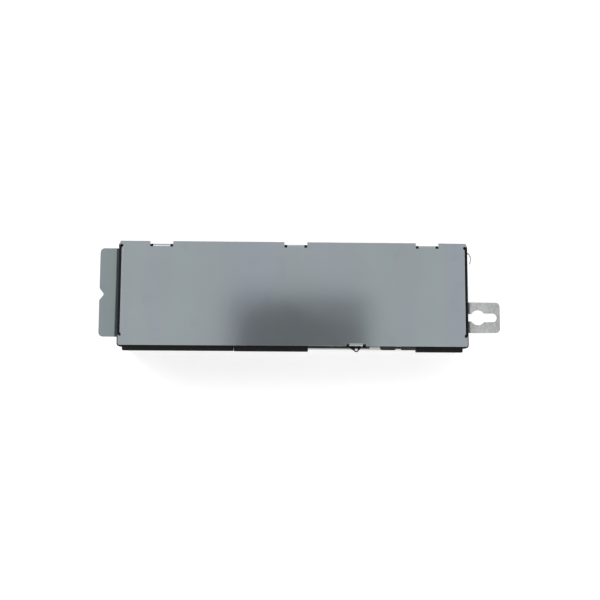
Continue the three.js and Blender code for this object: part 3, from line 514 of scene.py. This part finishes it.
def plated_steel(colours):
    """Zinc plate: small mottled crystals, brighter and duller, over a fine grain."""
    base = tuple(colours.zinc)
    made = Finish("plated_steel", Metallic=0.86)
    nodes = made.nodes
    place = nodes.add("ShaderNodeTexCoord").outputs["Object"]
    crystals = nodes.add("ShaderNodeTexVoronoi", {"Vector": place, "Scale": 620.0})
    crystal = nodes.add("ShaderNodeSeparateColor", {"Color": crystals.outputs["Color"]}).outputs[0]
    grain = made.group("grain", Fine_Scale=1500.0, Broad_Scale=70.0)
    wear = made.group("wear", Amount=0.6)
    mottled = nodes.math("ADD", nodes.math("MULTIPLY", crystal, 0.4), grain["Broad"])
    colour = nodes.ramp(mottled, [(0.35, tone(base, 0.78)), (0.7, (*base, 1.0)), (0.95, tone(base, 1.2))])
    made.set("Base Color", nodes.mix(wear["Mask"], colour, (0.9, 0.9, 0.88, 1.0)))
    made.set("Roughness", nodes.span(mottled, (0.4, 0.9), (0.48, 0.3)))
    made.bump(grain["Fine"], strength=0.12, distance=0.02 * MM)
    return made.material


def bright_steel(colours):
    """Ground steel with fine turning lines and a thin oil film."""
    base = tuple(colours.steel)
    made = Finish("bright_steel", Metallic=1.0)
    lines = made.stretched(2600.0, (1.0, 0.05, 0.05), detail=2.0)
    smudges = made.group("smudges", Amount=0.3)
    colour = made.nodes.ramp(lines, [(0.3, tone(base, 0.85)), (0.7, tone(base, 1.05))])
    made.set("Base Color", made.nodes.mix(smudges["Mask"], colour, tone(base, 0.6)))
    made.set("Roughness", made.nodes.span(smudges["Film"], (0.3, 0.7), (0.17, 0.32)))
    made.bump(lines, strength=0.1, distance=0.01 * MM)
    return made.material


def moulded(name, base, roughness, texture, sheen=0.5, rubbed=0.1):
    """Moulded plastic: spark-eroded texture, faint flow marks and paler rubbed edges."""
    made = Finish(name, IOR=1.49, Specular_IOR_Level=sheen)
    grain = made.group("grain", Fine_Scale=texture, Broad_Scale=26.0)
    wear = made.group("wear", Amount=0.35)
    colour = made.nodes.ramp(grain["Broad"], [(0.3, tone(base, 0.8)), (0.7, tone(base, 1.25))])
    pale = tuple(min(1.0, c + rubbed) for c in base[:3]) + (1.0,)
    made.set("Base Color", made.nodes.mix(wear["Mask"], colour, pale))
    made.set("Roughness", made.nodes.span(grain["Broad"], (0.3, 0.7), (roughness - 0.06, roughness + 0.08)))
    made.bump(grain["Fine"], strength=0.22, distance=0.03 * MM)
    return made.material


def sintered_bronze(colours):
    """Pressed bronze powder, dark in its pores with oil."""
    base = tuple(colours.bronze)
    made = Finish("sintered_bronze", Metallic=0.9)
    grain = made.group("grain", Fine_Scale=3400.0, Broad_Scale=160.0)
    pores = made.nodes.ramp(grain["Fine"], [(0.36, tone(base, 0.35)), (0.52, (*base, 1.0))])
    made.set("Base Color", pores)
    made.set("Roughness", made.nodes.span(grain["Broad"], (0.3, 0.7), (0.35, 0.55)))
    made.bump(grain["Fine"], strength=0.3, distance=0.02 * MM)
    return made.material


def ground_rubber(colours):
    """Ground rubber: lines across the tread and paper dust in them."""
    base = tuple(colours.rubber)
    made = Finish("ground_rubber", Roughness=0.85, IOR=1.52)
    lines = made.stretched(1500.0, (1.0, 0.12, 0.12), detail=3.0)
    smudges = made.group("smudges", Amount=1.0)
    colour = made.nodes.ramp(lines, [(0.35, tone(base, 0.75)), (0.65, tone(base, 1.3))])
    dust = made.nodes.span(smudges["Film"], (0.45, 0.75), (0.0, 0.35))
    made.set("Base Color", made.nodes.mix(dust, colour, (0.3, 0.29, 0.27, 1.0)))
    made.bump(lines, strength=0.4, distance=0.05 * MM)
    return made.material


def sensor_glass(colours):
    """Dark window glass with a few wipe marks in its gloss."""
    made = Finish("sensor_glass", IOR=1.5, Metallic=0.0, Transmission_Weight=0.75)
    made.shader.inputs["Coat Weight"].default_value = 0.2
    wipes = made.stretched(120.0, (0.2, 1.0, 1.0), detail=4.0)
    tint = tuple(colours.glass)
    made.set("Base Color", made.nodes.ramp(wipes, [(0.3, tone(tint, 0.92)), (0.7, tone(tint, 1.05))]))
    made.set("Roughness", made.nodes.span(wipes, (0.35, 0.7), (0.02, 0.09)))
    return made.material


def circuit_board(colours, board_top):
    """Green resist over copper tracks, with dark packages above the board's face."""
    base = tuple(colours.board)
    made = Finish("circuit_board", IOR=1.5)
    nodes = made.nodes
    place = nodes.add("ShaderNodeTexCoord").outputs["Object"]
    height = nodes.add("ShaderNodeSeparateXYZ", {"Vector": place}).outputs["Z"]
    package = nodes.math("GREATER_THAN", height, board_top + PACKAGE_START)
    tracks = nodes.add("ShaderNodeTexBrick", {"Vector": place, "Scale": 90.0, "Mortar Size": 0.06})
    copper = nodes.mix(tracks.outputs["Fac"], (*base, 1.0), tone(base, 1.7))
    grain = made.group("grain", Fine_Scale=1100.0, Broad_Scale=60.0)
    epoxy = nodes.ramp(grain["Broad"], [(0.3, (0.012, 0.012, 0.013, 1)), (0.7, (0.03, 0.03, 0.032, 1))])
    made.set("Base Color", nodes.mix(package, copper, epoxy))
    made.set("Roughness", nodes.span(grain["Broad"], (0.3, 0.7), (0.28, 0.46)))
    made.bump(nodes.math("ADD", tracks.outputs["Fac"], grain["Fine"]), strength=0.15, distance=0.03 * MM)
    return made.material


def tinned(name, base, roughness):
    """Thin stamped shell metal, slightly wavy."""
    made = Finish(name, Metallic=0.95)
    grain = made.group("grain", Fine_Scale=700.0, Broad_Scale=120.0)
    colour = made.nodes.ramp(grain["Broad"], [(0.3, tone(base, 0.82)), (0.7, tone(base, 1.1))])
    made.set("Base Color", colour)
    made.set("Roughness", made.nodes.span(grain["Broad"], (0.3, 0.7), (roughness, roughness + 0.12)))
    made.bump(grain["Fine"], strength=0.15, distance=0.04 * MM)
    return made.material


def stage_paper():
    made = Finish("stage_paper", Roughness=0.9)
    grain = made.group("grain", Fine_Scale=400.0, Broad_Scale=3.0)
    white = made.nodes.ramp(grain["Broad"], [(0.3, (0.93, 0.93, 0.93, 1)), (0.7, (0.95, 0.95, 0.95, 1))])
    made.set("Base Color", white)
    made.set("Emission Color", white)
    made.shader.inputs["Emission Strength"].default_value = FLOOR_GLOW
    return made.material


def flag_cloth():
    made = Finish("flag_cloth", Roughness=1.0)
    grain = made.group("grain", Fine_Scale=500.0, Broad_Scale=5.0)
    stops = [(0.3, tone(FLAG_COLOUR, 0.8)), (0.7, tone(FLAG_COLOUR, 1.2))]
    made.set("Base Color", made.nodes.ramp(grain["Broad"], stops))
    return made.material


FINISHES = {}


def material(slot):
    """The material of a slot, made on first use."""
    if slot not in FINISHES:
        colours = bpy.context.scene.validator_colours
        board_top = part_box("control_board")[0].z + sizes().board_sheet
        black, grey, white = tuple(colours.black), tuple(colours.grey), tuple(colours.white)
        makers = {
            "coated_steel": lambda: coated_steel("coated_steel", tuple(colours.coat)),
            "plate_coat": lambda: coated_steel("plate_coat", tuple(colours.plate_coat)),
            "plated_steel": lambda: plated_steel(colours),
            "bright_steel": lambda: bright_steel(colours),
            "black_plastic": lambda: moulded(
                "black_plastic", black, roughness=0.42, texture=1500.0, sheen=0.16, rubbed=0.03
            ),
            "grey_plastic": lambda: moulded("grey_plastic", grey, roughness=0.5, texture=1300.0),
            "white_plastic": lambda: moulded("white_plastic", white, roughness=0.4, texture=900.0),
            "bronze": lambda: sintered_bronze(colours),
            "rubber": lambda: ground_rubber(colours),
            "sensor_glass": lambda: sensor_glass(colours),
            "circuit_board": lambda: circuit_board(colours, board_top),
            "socket_shell": lambda: tinned("socket_shell", tuple(colours.tin), roughness=0.24),
            # The darker tin of the middle and right sockets is painted dark reflection: the same tinned shell
            # as the left socket, darkened for the dark surroundings its metal mirrors.
            "painted_dark_reflection_shell": lambda: tinned("painted_dark_reflection_shell", tuple(colours.painted_dark_reflection_tin), roughness=0.24),
            "contact": lambda: tinned("contact_gold", tuple(colours.gold), roughness=0.2),
        }
        FINISHES[slot] = makers[slot]()
    return FINISHES[slot]


# ---------- what a user may change ----------


def colour(name, description, default):
    return bpy.props.FloatVectorProperty(
        name=name, description=description, subtype="COLOR", size=3, min=0.0, max=1.0, default=default
    )


def length(name, description, default):
    return bpy.props.FloatProperty(
        name=name, description=description, unit="LENGTH", min=0.0, default=default
    )


class ValidatorColours(bpy.types.PropertyGroup):
    coat: colour("Coat", "Satin coat of the cover", (0.336, 0.374, 0.4))
    plate_coat: colour("Plate coat", "Satin coat of the left plate", (0.275, 0.322, 0.323))
    zinc: colour("Zinc", "Zinc plate of the tray and the right plate", (0.47, 0.485, 0.48))
    steel: colour("Steel", "Ground steel of shafts, pins and springs", (0.6, 0.61, 0.62))
    black: colour("Black plastic", "Connectors, guides and upper frame", (0.005, 0.005, 0.0055))
    grey: colour("Grey plastic", "Sensor housings and pinch rollers", (0.045, 0.05, 0.056))
    white: colour("White plastic", "Gears, hubs and bearing blocks", (0.68, 0.66, 0.6))
    bronze: colour("Bronze", "Sleeve bushes", (0.42, 0.27, 0.12))
    rubber: colour("Rubber", "Treads of the driven rollers", (0.03, 0.03, 0.032))
    glass: colour("Glass", "Windows over the image sensors", (0.3, 0.38, 0.42))
    board: colour("Board", "Solder resist", (0.012, 0.09, 0.04))
    tin: colour("Tin", "Shell of the left small socket, and the magnetic bar", (0.62, 0.62, 0.6))
    # Painted dark reflection: the same tin as the left socket's shell, darkened for the dark surroundings the
    # two shells mirror.
    painted_dark_reflection_tin: colour("Dark tin", "Shells of the two dark small sockets", (0.05, 0.05, 0.052))
    gold: colour("Gold", "Contacts of the connectors", (0.72, 0.5, 0.2))


class ValidatorSizes(bpy.types.PropertyGroup):
    sheet_edge: length("Sheet edge", "Rounding of a pressed sheet's edges", 0.14 * MM)
    mould_edge: length("Mould edge", "Rounding of a moulding's edges", 0.2 * MM)
    connector_edge: length("Connector edge", "Rounding of a connector's housing", 0.4 * MM)
    board_sheet: length("Board sheet", "Thickness of the control board", 1.6 * MM)
    contact_pitch: length("Contact pitch", "Distance between a connector's contacts", 1.27 * MM)
    contact_width: length("Contact width", "Width of one contact", 0.5 * MM)
    rib_height: length("Rib height", "Height of the ribs on the wide connector", 0.22 * MM)
    screw_radius: length("Screw head radius", "Radius of the tray screws' heads", 2.4 * MM)
    screw_height: length("Screw head height", "Height of the tray screws' heads", 1.1 * MM)
    wire_growth: length("Wire growth", "What smoothing takes off a spring's wire", 0.05 * MM)


def sizes():
    return bpy.context.scene.validator_sizes


# ---------- pieces ----------


class PieceOperator(bpy.types.Operator):
    """Base of the operators that make the pieces."""

    bl_idname = "validator.piece"
    bl_label = "Piece"
    bl_options = {"REGISTER", "UNDO"}

    def make(self):
        raise NotImplementedError

    def execute(self, context):
        self.make()
        return {"FINISHED"}


class MakeCover(PieceOperator):
    """Makes the top cover, with its bent sides and tabs, from bent sheet"""

    bl_idname = "validator.cover"
    bl_label = "Cover"

    def make(self):
        refine("top_cover", "sheet", sizes().sheet_edge)


class MakeSidePlates(PieceOperator):
    """Makes the two side plates with their ears"""

    bl_idname = "validator.side_plates"
    bl_label = "Side plates"

    def make(self):
        refine("left_side_plate", "sheet", sizes().sheet_edge, material("plate_coat"))
        refine("right_side_plate", "sheet", sizes().sheet_edge)


class MakeTray(PieceOperator):
    """Makes the chassis tray"""

    bl_idname = "validator.tray"
    bl_label = "Tray"

    def make(self):
        refine("chassis_tray", "sheet", sizes().sheet_edge)


class MakeMouldings(PieceOperator):
    """Makes the guides, the upper frame, the bezel and the blocks that carry the pinch shafts"""

    bl_idname = "validator.mouldings"
    bl_label = "Mouldings"

    def make(self):
        nodes = ["lower_guide", "upper_guide", "upper_frame", "upper_bezel"]
        nodes += [f"{shaft}_{side}_pinch_block" for shaft in SHAFTS for side in SIDES]
        for node in nodes:
            refine(node, "moulding", sizes().mould_edge)


class MakeSensors(PieceOperator):
    """Makes the sensors, their windows, the magnetic bar and the circuit boards"""

    bl_idname = "validator.sensors"
    bl_label = "Sensors and boards"

    def make(self):
        for node in (
            "lower_image_sensor",
            "upper_image_sensor",
            "lower_sensor_glass",
            "upper_sensor_glass",
            "magnetic_head_bar",
            "lower_sensor_board",
            "control_board",
        ):
            refine(node, "body", sizes().mould_edge / 2)


class MakeConnectors(PieceOperator):
    """Makes the connectors and the shielded sockets on the front edge of the board"""

    bl_idname = "validator.connectors"
    bl_label = "Connectors"

    def make(self):
        for name in ("wide", "middle", "right"):
            node = f"{name}_connector"
            refine(node, "housing", sizes().connector_edge)
            self.contacts(node)
        refine("left_shielded_socket", "shell", sizes().sheet_edge)
        for name in ("middle", "right"):
            # The middle and right sockets get the darker tin: painted dark reflection on a shell like the
            # left one's.
            refine(f"{name}_shielded_socket", "shell", sizes().sheet_edge, material("painted_dark_reflection_shell"))
        self.ribs("wide_connector")

    def contacts(self, node):
        """Two rows of flat contacts, on the upper and lower walls of the mouth."""
        low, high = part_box(node)
        half = sizes().contact_width / 2
        span = high.x - low.x - 2 * CONTACT_MARGIN
        count = int(span / sizes().contact_pitch) + 1
        start = (low.x + high.x - (count - 1) * sizes().contact_pitch) / 2
        floor, roof = low.z + CONNECTOR_WALL, high.z - CONNECTOR_WALL
        rows = [(floor, floor + CONTACT_SHEET), (roof - CONTACT_SHEET, roof)]
        made = []
        for index, (z0, z1) in enumerate(rows):
            corner = (start - half, low.y + CONTACT_START, z0)
            far = (start + half, low.y + CONTACT_END, z1)
            row = block(f"{node}_contacts_{index}", corner, far, ROUNDING["contact"])
            modify(
                row,
                "ARRAY",
                count=count,
                use_relative_offset=False,
                use_constant_offset=True,
                constant_offset_displace=(sizes().contact_pitch, 0, 0),
            )
            made.append(row)
        contacts = join(made)
        contacts.name = f"{node}_contacts"
        smooth(contacts)
        finish(contacts, BODY_OF[node], material("contact"))

    def ribs(self, node):
        """Moulded ribs on top of the housing, ahead of the cover's edge."""
        low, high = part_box(node)
        cover_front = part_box("top_cover")[0].y
        pitch = 2 * sizes().contact_pitch
        count = int((high.x - low.x - 2 * RIB_MARGIN) / pitch)
        start = (low.x + high.x - (count - 1) * pitch) / 2
        rib = block(
            f"{node}_ribs",
            (start - RIB_WIDTH / 2, low.y + RIB_INSET, high.z - RIB_ROOT),
            (start + RIB_WIDTH / 2, cover_front - RIB_INSET, high.z + sizes().rib_height),
            ROUNDING["rib"],
        )
        modify(
            rib,
            "ARRAY",
            count=count,
            use_relative_offset=False,
            use_constant_offset=True,
            constant_offset_displace=(pitch, 0, 0),
        )
        smooth(rib)
        finish(rib, BODY_OF[node], material("black_plastic"))


class MakeShafts(PieceOperator):
    """Makes the drive, pinch and latch shafts, the hinge pins and the clips on the shafts' ends"""

    bl_idname = "validator.shafts"
    bl_label = "Shafts and pins"

    def make(self):
        nodes = [f"{shaft}_{kind}_shaft" for shaft in SHAFTS for kind in ("drive", "pinch")]
        nodes += ["latch_shaft"] + [f"{side}_hinge_pin" for side in SIDES]
        for node in nodes:
            low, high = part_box(node)
            place = (low + high) / 2
            radius = (high.z - low.z) / 2
            ends = (low.x, high.x)
            bar = bar_along_x(f"{node}_bar", radius, ends, place.y, place.z, ROUNDING["shaft"])
            smooth(bar)
            finish(bar, BODY_OF[node], material("bright_steel"), [node])
        self.clip("front_drive_shaft", "left")
        self.clip("front_drive_shaft", "right")
        self.clip("rear_drive_shaft", "left")

    def clip(self, node, side):
        """A spring clip in a groove near the end of a shaft, outside the bush."""
        low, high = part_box(node)
        place = (low + high) / 2
        radius = (high.z - low.z) / 2
        end = low.x + CLIP_INSET if side == "left" else high.x - CLIP_INSET - CLIP
        clip = ring_along_x(
            f"{node}_{side}_clip",
            (end, end + CLIP),
            radius - CLIP_GROOVE,
            radius + CLIP_REACH,
            place.y,
            place.z,
            ROUNDING["clip"],
        )
        smooth(clip)
        finish(clip, BODY_OF[node], material("bright_steel"))


class MakeRollers(PieceOperator):
    """Makes the rubber-tyred drive rollers and the moulded pinch rollers"""

    bl_idname = "validator.rollers"
    bl_label = "Rollers"

    def make(self):
        first = centre("front_drive_roller_1")
        tyre, hub = self.drive_roller("front_drive_roller_1")
        wheel = self.pinch_roller("front_pinch_roller_1")
        pinch_first = centre("front_pinch_roller_1")
        for shaft in SHAFTS:
            for number in ROLLERS:
                node = f"{shaft}_drive_roller_{number}"
                offset = centre(node) - first
                body = BODY_OF[node]
                finish(copy_to(tyre, f"{node}_tyre", offset), body, material("rubber"), [node])
                finish(copy_to(hub, f"{node}_hub", offset), body, material("white_plastic"))
                node = f"{shaft}_pinch_roller_{number}"
                made = copy_to(wheel, f"{node}_wheel", centre(node) - pinch_first)
                finish(made, BODY_OF[node], material("grey_plastic"), [node])
        for pattern in (tyre, hub, wheel):
            bpy.data.objects.remove(pattern)

    def drive_roller(self, node):
        low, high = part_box(node)
        place = (low + high) / 2
        radius = (high.z - low.z) / 2
        seat = radius - TYRE
        wall = SHAFT_BORE + HUB_WALL
        ends = (low.x, high.x)
        spokes = (low.x + HUB_WEB_INSET, high.x - HUB_WEB_INSET)
        at = (place.y, place.z)
        tyre = ring_along_x("tyre_pattern", ends, seat, radius, *at, ROUNDING["tyre"])
        web = ring_along_x(
            "hub_pattern", spokes, wall - WEB_LAP, seat - TYRE_GAP, *at, ROUNDING["hub_web"]
        )
        sleeve = ring_along_x("hub_sleeve", ends, SHAFT_BORE, wall, *at, ROUNDING["hub_sleeve"])
        hub = join([web, sleeve])
        for pattern in (tyre, hub):
            smooth(pattern)
        return tyre, hub

    def pinch_roller(self, node):
        low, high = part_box(node)
        place = (low + high) / 2
        radius = (high.z - low.z) / 2
        seat = radius - PINCH_RIM
        wall = PINCH_BORE + PINCH_WALL
        ends = (low.x, high.x)
        spokes = (place.x - PINCH_WEB / 2, place.x + PINCH_WEB / 2)
        hub = (low.x + PINCH_SLEEVE_INSET, high.x - PINCH_SLEEVE_INSET)
        at = (place.y, place.z)
        rim = ring_along_x("wheel_pattern", ends, seat, radius, *at, ROUNDING["pinch_rim"])
        web = ring_along_x(
            "wheel_web", spokes, wall - WEB_LAP, seat + WEB_LAP, *at, ROUNDING["pinch_web"]
        )
        sleeve = ring_along_x("wheel_sleeve", hub, PINCH_BORE, wall, *at, ROUNDING["pinch_sleeve"])
        wheel = join([rim, web, sleeve])
        smooth(wheel)
        return wheel


class MakeBushes(PieceOperator):
    """Makes the flanged bronze bushes of the drive shafts"""

    bl_idname = "validator.bushes"
    bl_label = "Bushes"

    def make(self):
        for shaft in SHAFTS:
            for side in SIDES:
                self.bush(f"{shaft}_{side}_bush", side)

    def bush(self, node, side):
        low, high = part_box(node)
        place = (low + high) / 2
        flange = (high.z - low.z) / 2
        seat = low.x if side == "right" else high.x - BUSH_FLANGE
        inner = (seat, seat + BUSH_FLANGE)
        at = (place.y, place.z)
        ends = (low.x, high.x)
        seat_radius = flange - BUSH_REACH
        collar = ring_along_x(f"{node}_turned", inner, SHAFT_BORE, flange, *at, ROUNDING["bush_flange"])
        sleeve = ring_along_x("sleeve", ends, SHAFT_BORE, seat_radius, *at, ROUNDING["bush_sleeve"])
        made = join([collar, sleeve])
        smooth(made)
        finish(made, BODY_OF[node], material("bronze"), [node])


class MakeGears(PieceOperator):
    """Makes the moulded gears"""

    bl_idname = "validator.gears"
    bl_label = "Gears"

    def make(self):
        for node in ("front_shaft_gear", "rear_shaft_gear", "idler_gear", "input_gear"):
            refine(node, "moulding", sizes().mould_edge / 2)


class MakeSprings(PieceOperator):
    """Makes the lift spring and the four pinch springs from round wire"""

    bl_idname = "validator.springs"
    bl_label = "Springs"

    def make(self):
        wire_of("lift_spring")
        for shaft in SHAFTS:
            for side in SIDES:
                wire_of(f"{shaft}_{side}_pinch_spring")


class MakeLatch(PieceOperator):
    """Makes the latch hooks and the release lever"""

    bl_idname = "validator.latch"
    bl_label = "Latch"

    def make(self):
        for node in ("left_latch_hook", "right_latch_hook", "release_lever"):
            refine(node, "plate", sizes().sheet_edge)


class MakeScrews(PieceOperator):
    """Makes the cross-head screws that hold the tray between the side plates"""

    bl_idname = "validator.screws"
    bl_label = "Screws"

    def make(self):
        pattern = self.screw_head()
        tray_low, tray_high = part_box("chassis_tray")
        height = tray_low.z + SCREW_RISE
        outer = {"left": tray_low.x - SCREW_SEAT, "right": tray_high.x + SCREW_SEAT}
        for side, turn in (("left", math.pi), ("right", 0.0)):
            for number, share in enumerate((-SCREW_SPREAD, 0.0, SCREW_SPREAD)):
                name = f"{side}_tray_screw_{number + 1}"
                screw = copy_to(pattern, name, Vector((0, 0, 0)))
                screw.data.transform(Matrix.Rotation(turn, 4, "Z"))
                place = Vector((outer[side], share * tray_high.y, height))
                screw.data.transform(Matrix.Translation(place))
                finish(screw, "lower_unit", material("plated_steel"))
        bpy.data.objects.remove(pattern)

    def screw_head(self):
        """A pan head that looks along +X, with a cross recess."""
        radius, height = sizes().screw_radius, sizes().screw_height
        bpy.ops.mesh.primitive_cylinder_add(
            vertices=SCREW_SIDES,
            radius=radius,
            depth=height,
            location=(height / 2, 0, 0),
            rotation=(0, math.pi / 2, 0),
        )
        head = bpy.context.object
        settle(head, "screw_pattern")
        round_edges(head, ROUNDING["screw"], segments=4)
        for turn in (0.0, math.pi / 2):
            bpy.ops.mesh.primitive_cube_add(
                size=1,
                location=(height, 0, 0),
                rotation=(turn, 0, 0),
                scale=(2 * RECESS_DEPTH * height, RECESS_WIDTH, RECESS_LENGTH * radius),
            )
            arm = bpy.context.object
            settle(arm, "recess")
            modify(head, "BOOLEAN", object=arm, operation="DIFFERENCE", solver="EXACT")
            bpy.data.objects.remove(arm)
        smooth(head)
        return head


# ---------- stage ----------


def softbox(name, place, size, power):
    """A rectangular lamp that looks at the middle of the object's base."""
    lamp = bpy.data.lights.new(name, "AREA")
    lamp.shape = "RECTANGLE"
    lamp.size, lamp.size_y = size
    lamp.energy = power
    item = bpy.data.objects.new(name, lamp)
    bpy.context.scene.collection.objects.link(item)
    item.location = place
    item.rotation_euler = (-Vector(place)).to_track_quat("-Z", "Y").to_euler()


class MakeStage(PieceOperator):
    """Makes the floor, the flag, the lights and the camera"""

    bl_idname = "validator.stage"
    bl_label = "Stage"

    def make(self):
        self.floor()
        self.flag()
        self.lights()
        self.camera()

    def floor(self):
        bpy.ops.mesh.primitive_plane_add(size=FLOOR_SIZE, location=(0, 0, -FLOOR_GAP))
        floor = bpy.context.object
        settle(floor, "floor")
        floor.data.materials.append(stage_paper())

    def flag(self):
        """A black flag over the cover that shows only as a soft dark reflection in it."""
        cover_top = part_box("top_cover")[1].z
        bpy.ops.mesh.primitive_plane_add(size=1, location=(*FLAG_PLACE, cover_top + FLAG_RISE))
        flag = bpy.context.object
        flag.scale = FLAG_SIZE
        settle(flag, "flag")
        flag.data.materials.append(flag_cloth())
        flag.visible_camera = False
        flag.visible_diffuse = False
        flag.visible_shadow = False
        flag.visible_transmission = False

    def lights(self):
        scene = bpy.context.scene
        scene.view_settings.view_transform = "Standard"
        world = bpy.data.worlds.new("studio")
        scene.world = world
        world.use_nodes = True
        sky = world.node_tree.nodes["Background"]
        sky.inputs["Color"].default_value = (1.0, 1.0, 1.0, 1.0)
        sky.inputs["Strength"].default_value = SKY_STRENGTH
        softbox("key_light", **KEY_LIGHT)
        softbox("fill_light", **FILL_LIGHT)

    def camera(self):
        data = bpy.data.cameras.new("camera")
        data.sensor_width = SENSOR_WIDTH
        data.lens = LENS
        data.clip_start = 0.01
        item = bpy.data.objects.new("camera", data)
        bpy.context.scene.collection.objects.link(item)
        cover_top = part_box("top_cover")[1].z
        roll, pitch, yaw = (Matrix.Rotation(math.radians(angle), 3, axis) for axis, angle in CAMERA_TURNS)
        turn = (roll @ pitch @ yaw).transposed()
        item.rotation_euler = turn.to_euler()
        item.location = turn @ Vector(CAMERA_PLACE) + Vector((0, 0, cover_top))
        bpy.context.scene.camera = item


OPERATORS = (
    MakeStage,
    MakeCover,
    MakeSidePlates,
    MakeTray,
    MakeMouldings,
    MakeSensors,
    MakeConnectors,
    MakeShafts,
    MakeRollers,
    MakeBushes,
    MakeGears,
    MakeSprings,
    MakeLatch,
    MakeScrews,
)


class ValidatorPanel(bpy.types.Panel):
    """Lists the sizes, the colours and the pieces."""

    bl_idname = "VIEW3D_PT_validator"
    bl_label = "Bill validator"
    bl_space_type = "VIEW_3D"
    bl_region_type = "UI"
    bl_category = "Bill validator"

    def draw(self, context):
        layout = self.layout
        for group in (context.scene.validator_sizes, context.scene.validator_colours):
            column = layout.column()
            for key in group.bl_rna.properties.keys():
                if key not in ("rna_type", "name"):
                    column.prop(group, key)
        for operator in OPERATORS:
            layout.operator(operator.bl_idname)


CLASSES = (ValidatorColours, ValidatorSizes, *OPERATORS, ValidatorPanel)


def register():
    for item in CLASSES:
        bpy.utils.register_class(item)
    bpy.types.Scene.validator_colours = bpy.props.PointerProperty(type=ValidatorColours)
    bpy.types.Scene.validator_sizes = bpy.props.PointerProperty(type=ValidatorSizes)


def unregister():
    del bpy.types.Scene.validator_sizes
    del bpy.types.Scene.validator_colours
    for item in reversed(CLASSES):
        bpy.utils.unregister_class(item)


def main():
    register()
    for operator in OPERATORS:
        area, name = operator.bl_idname.split(".")
        getattr(getattr(bpy.ops, area), name)()


if __name__ == "__main__":
    main()
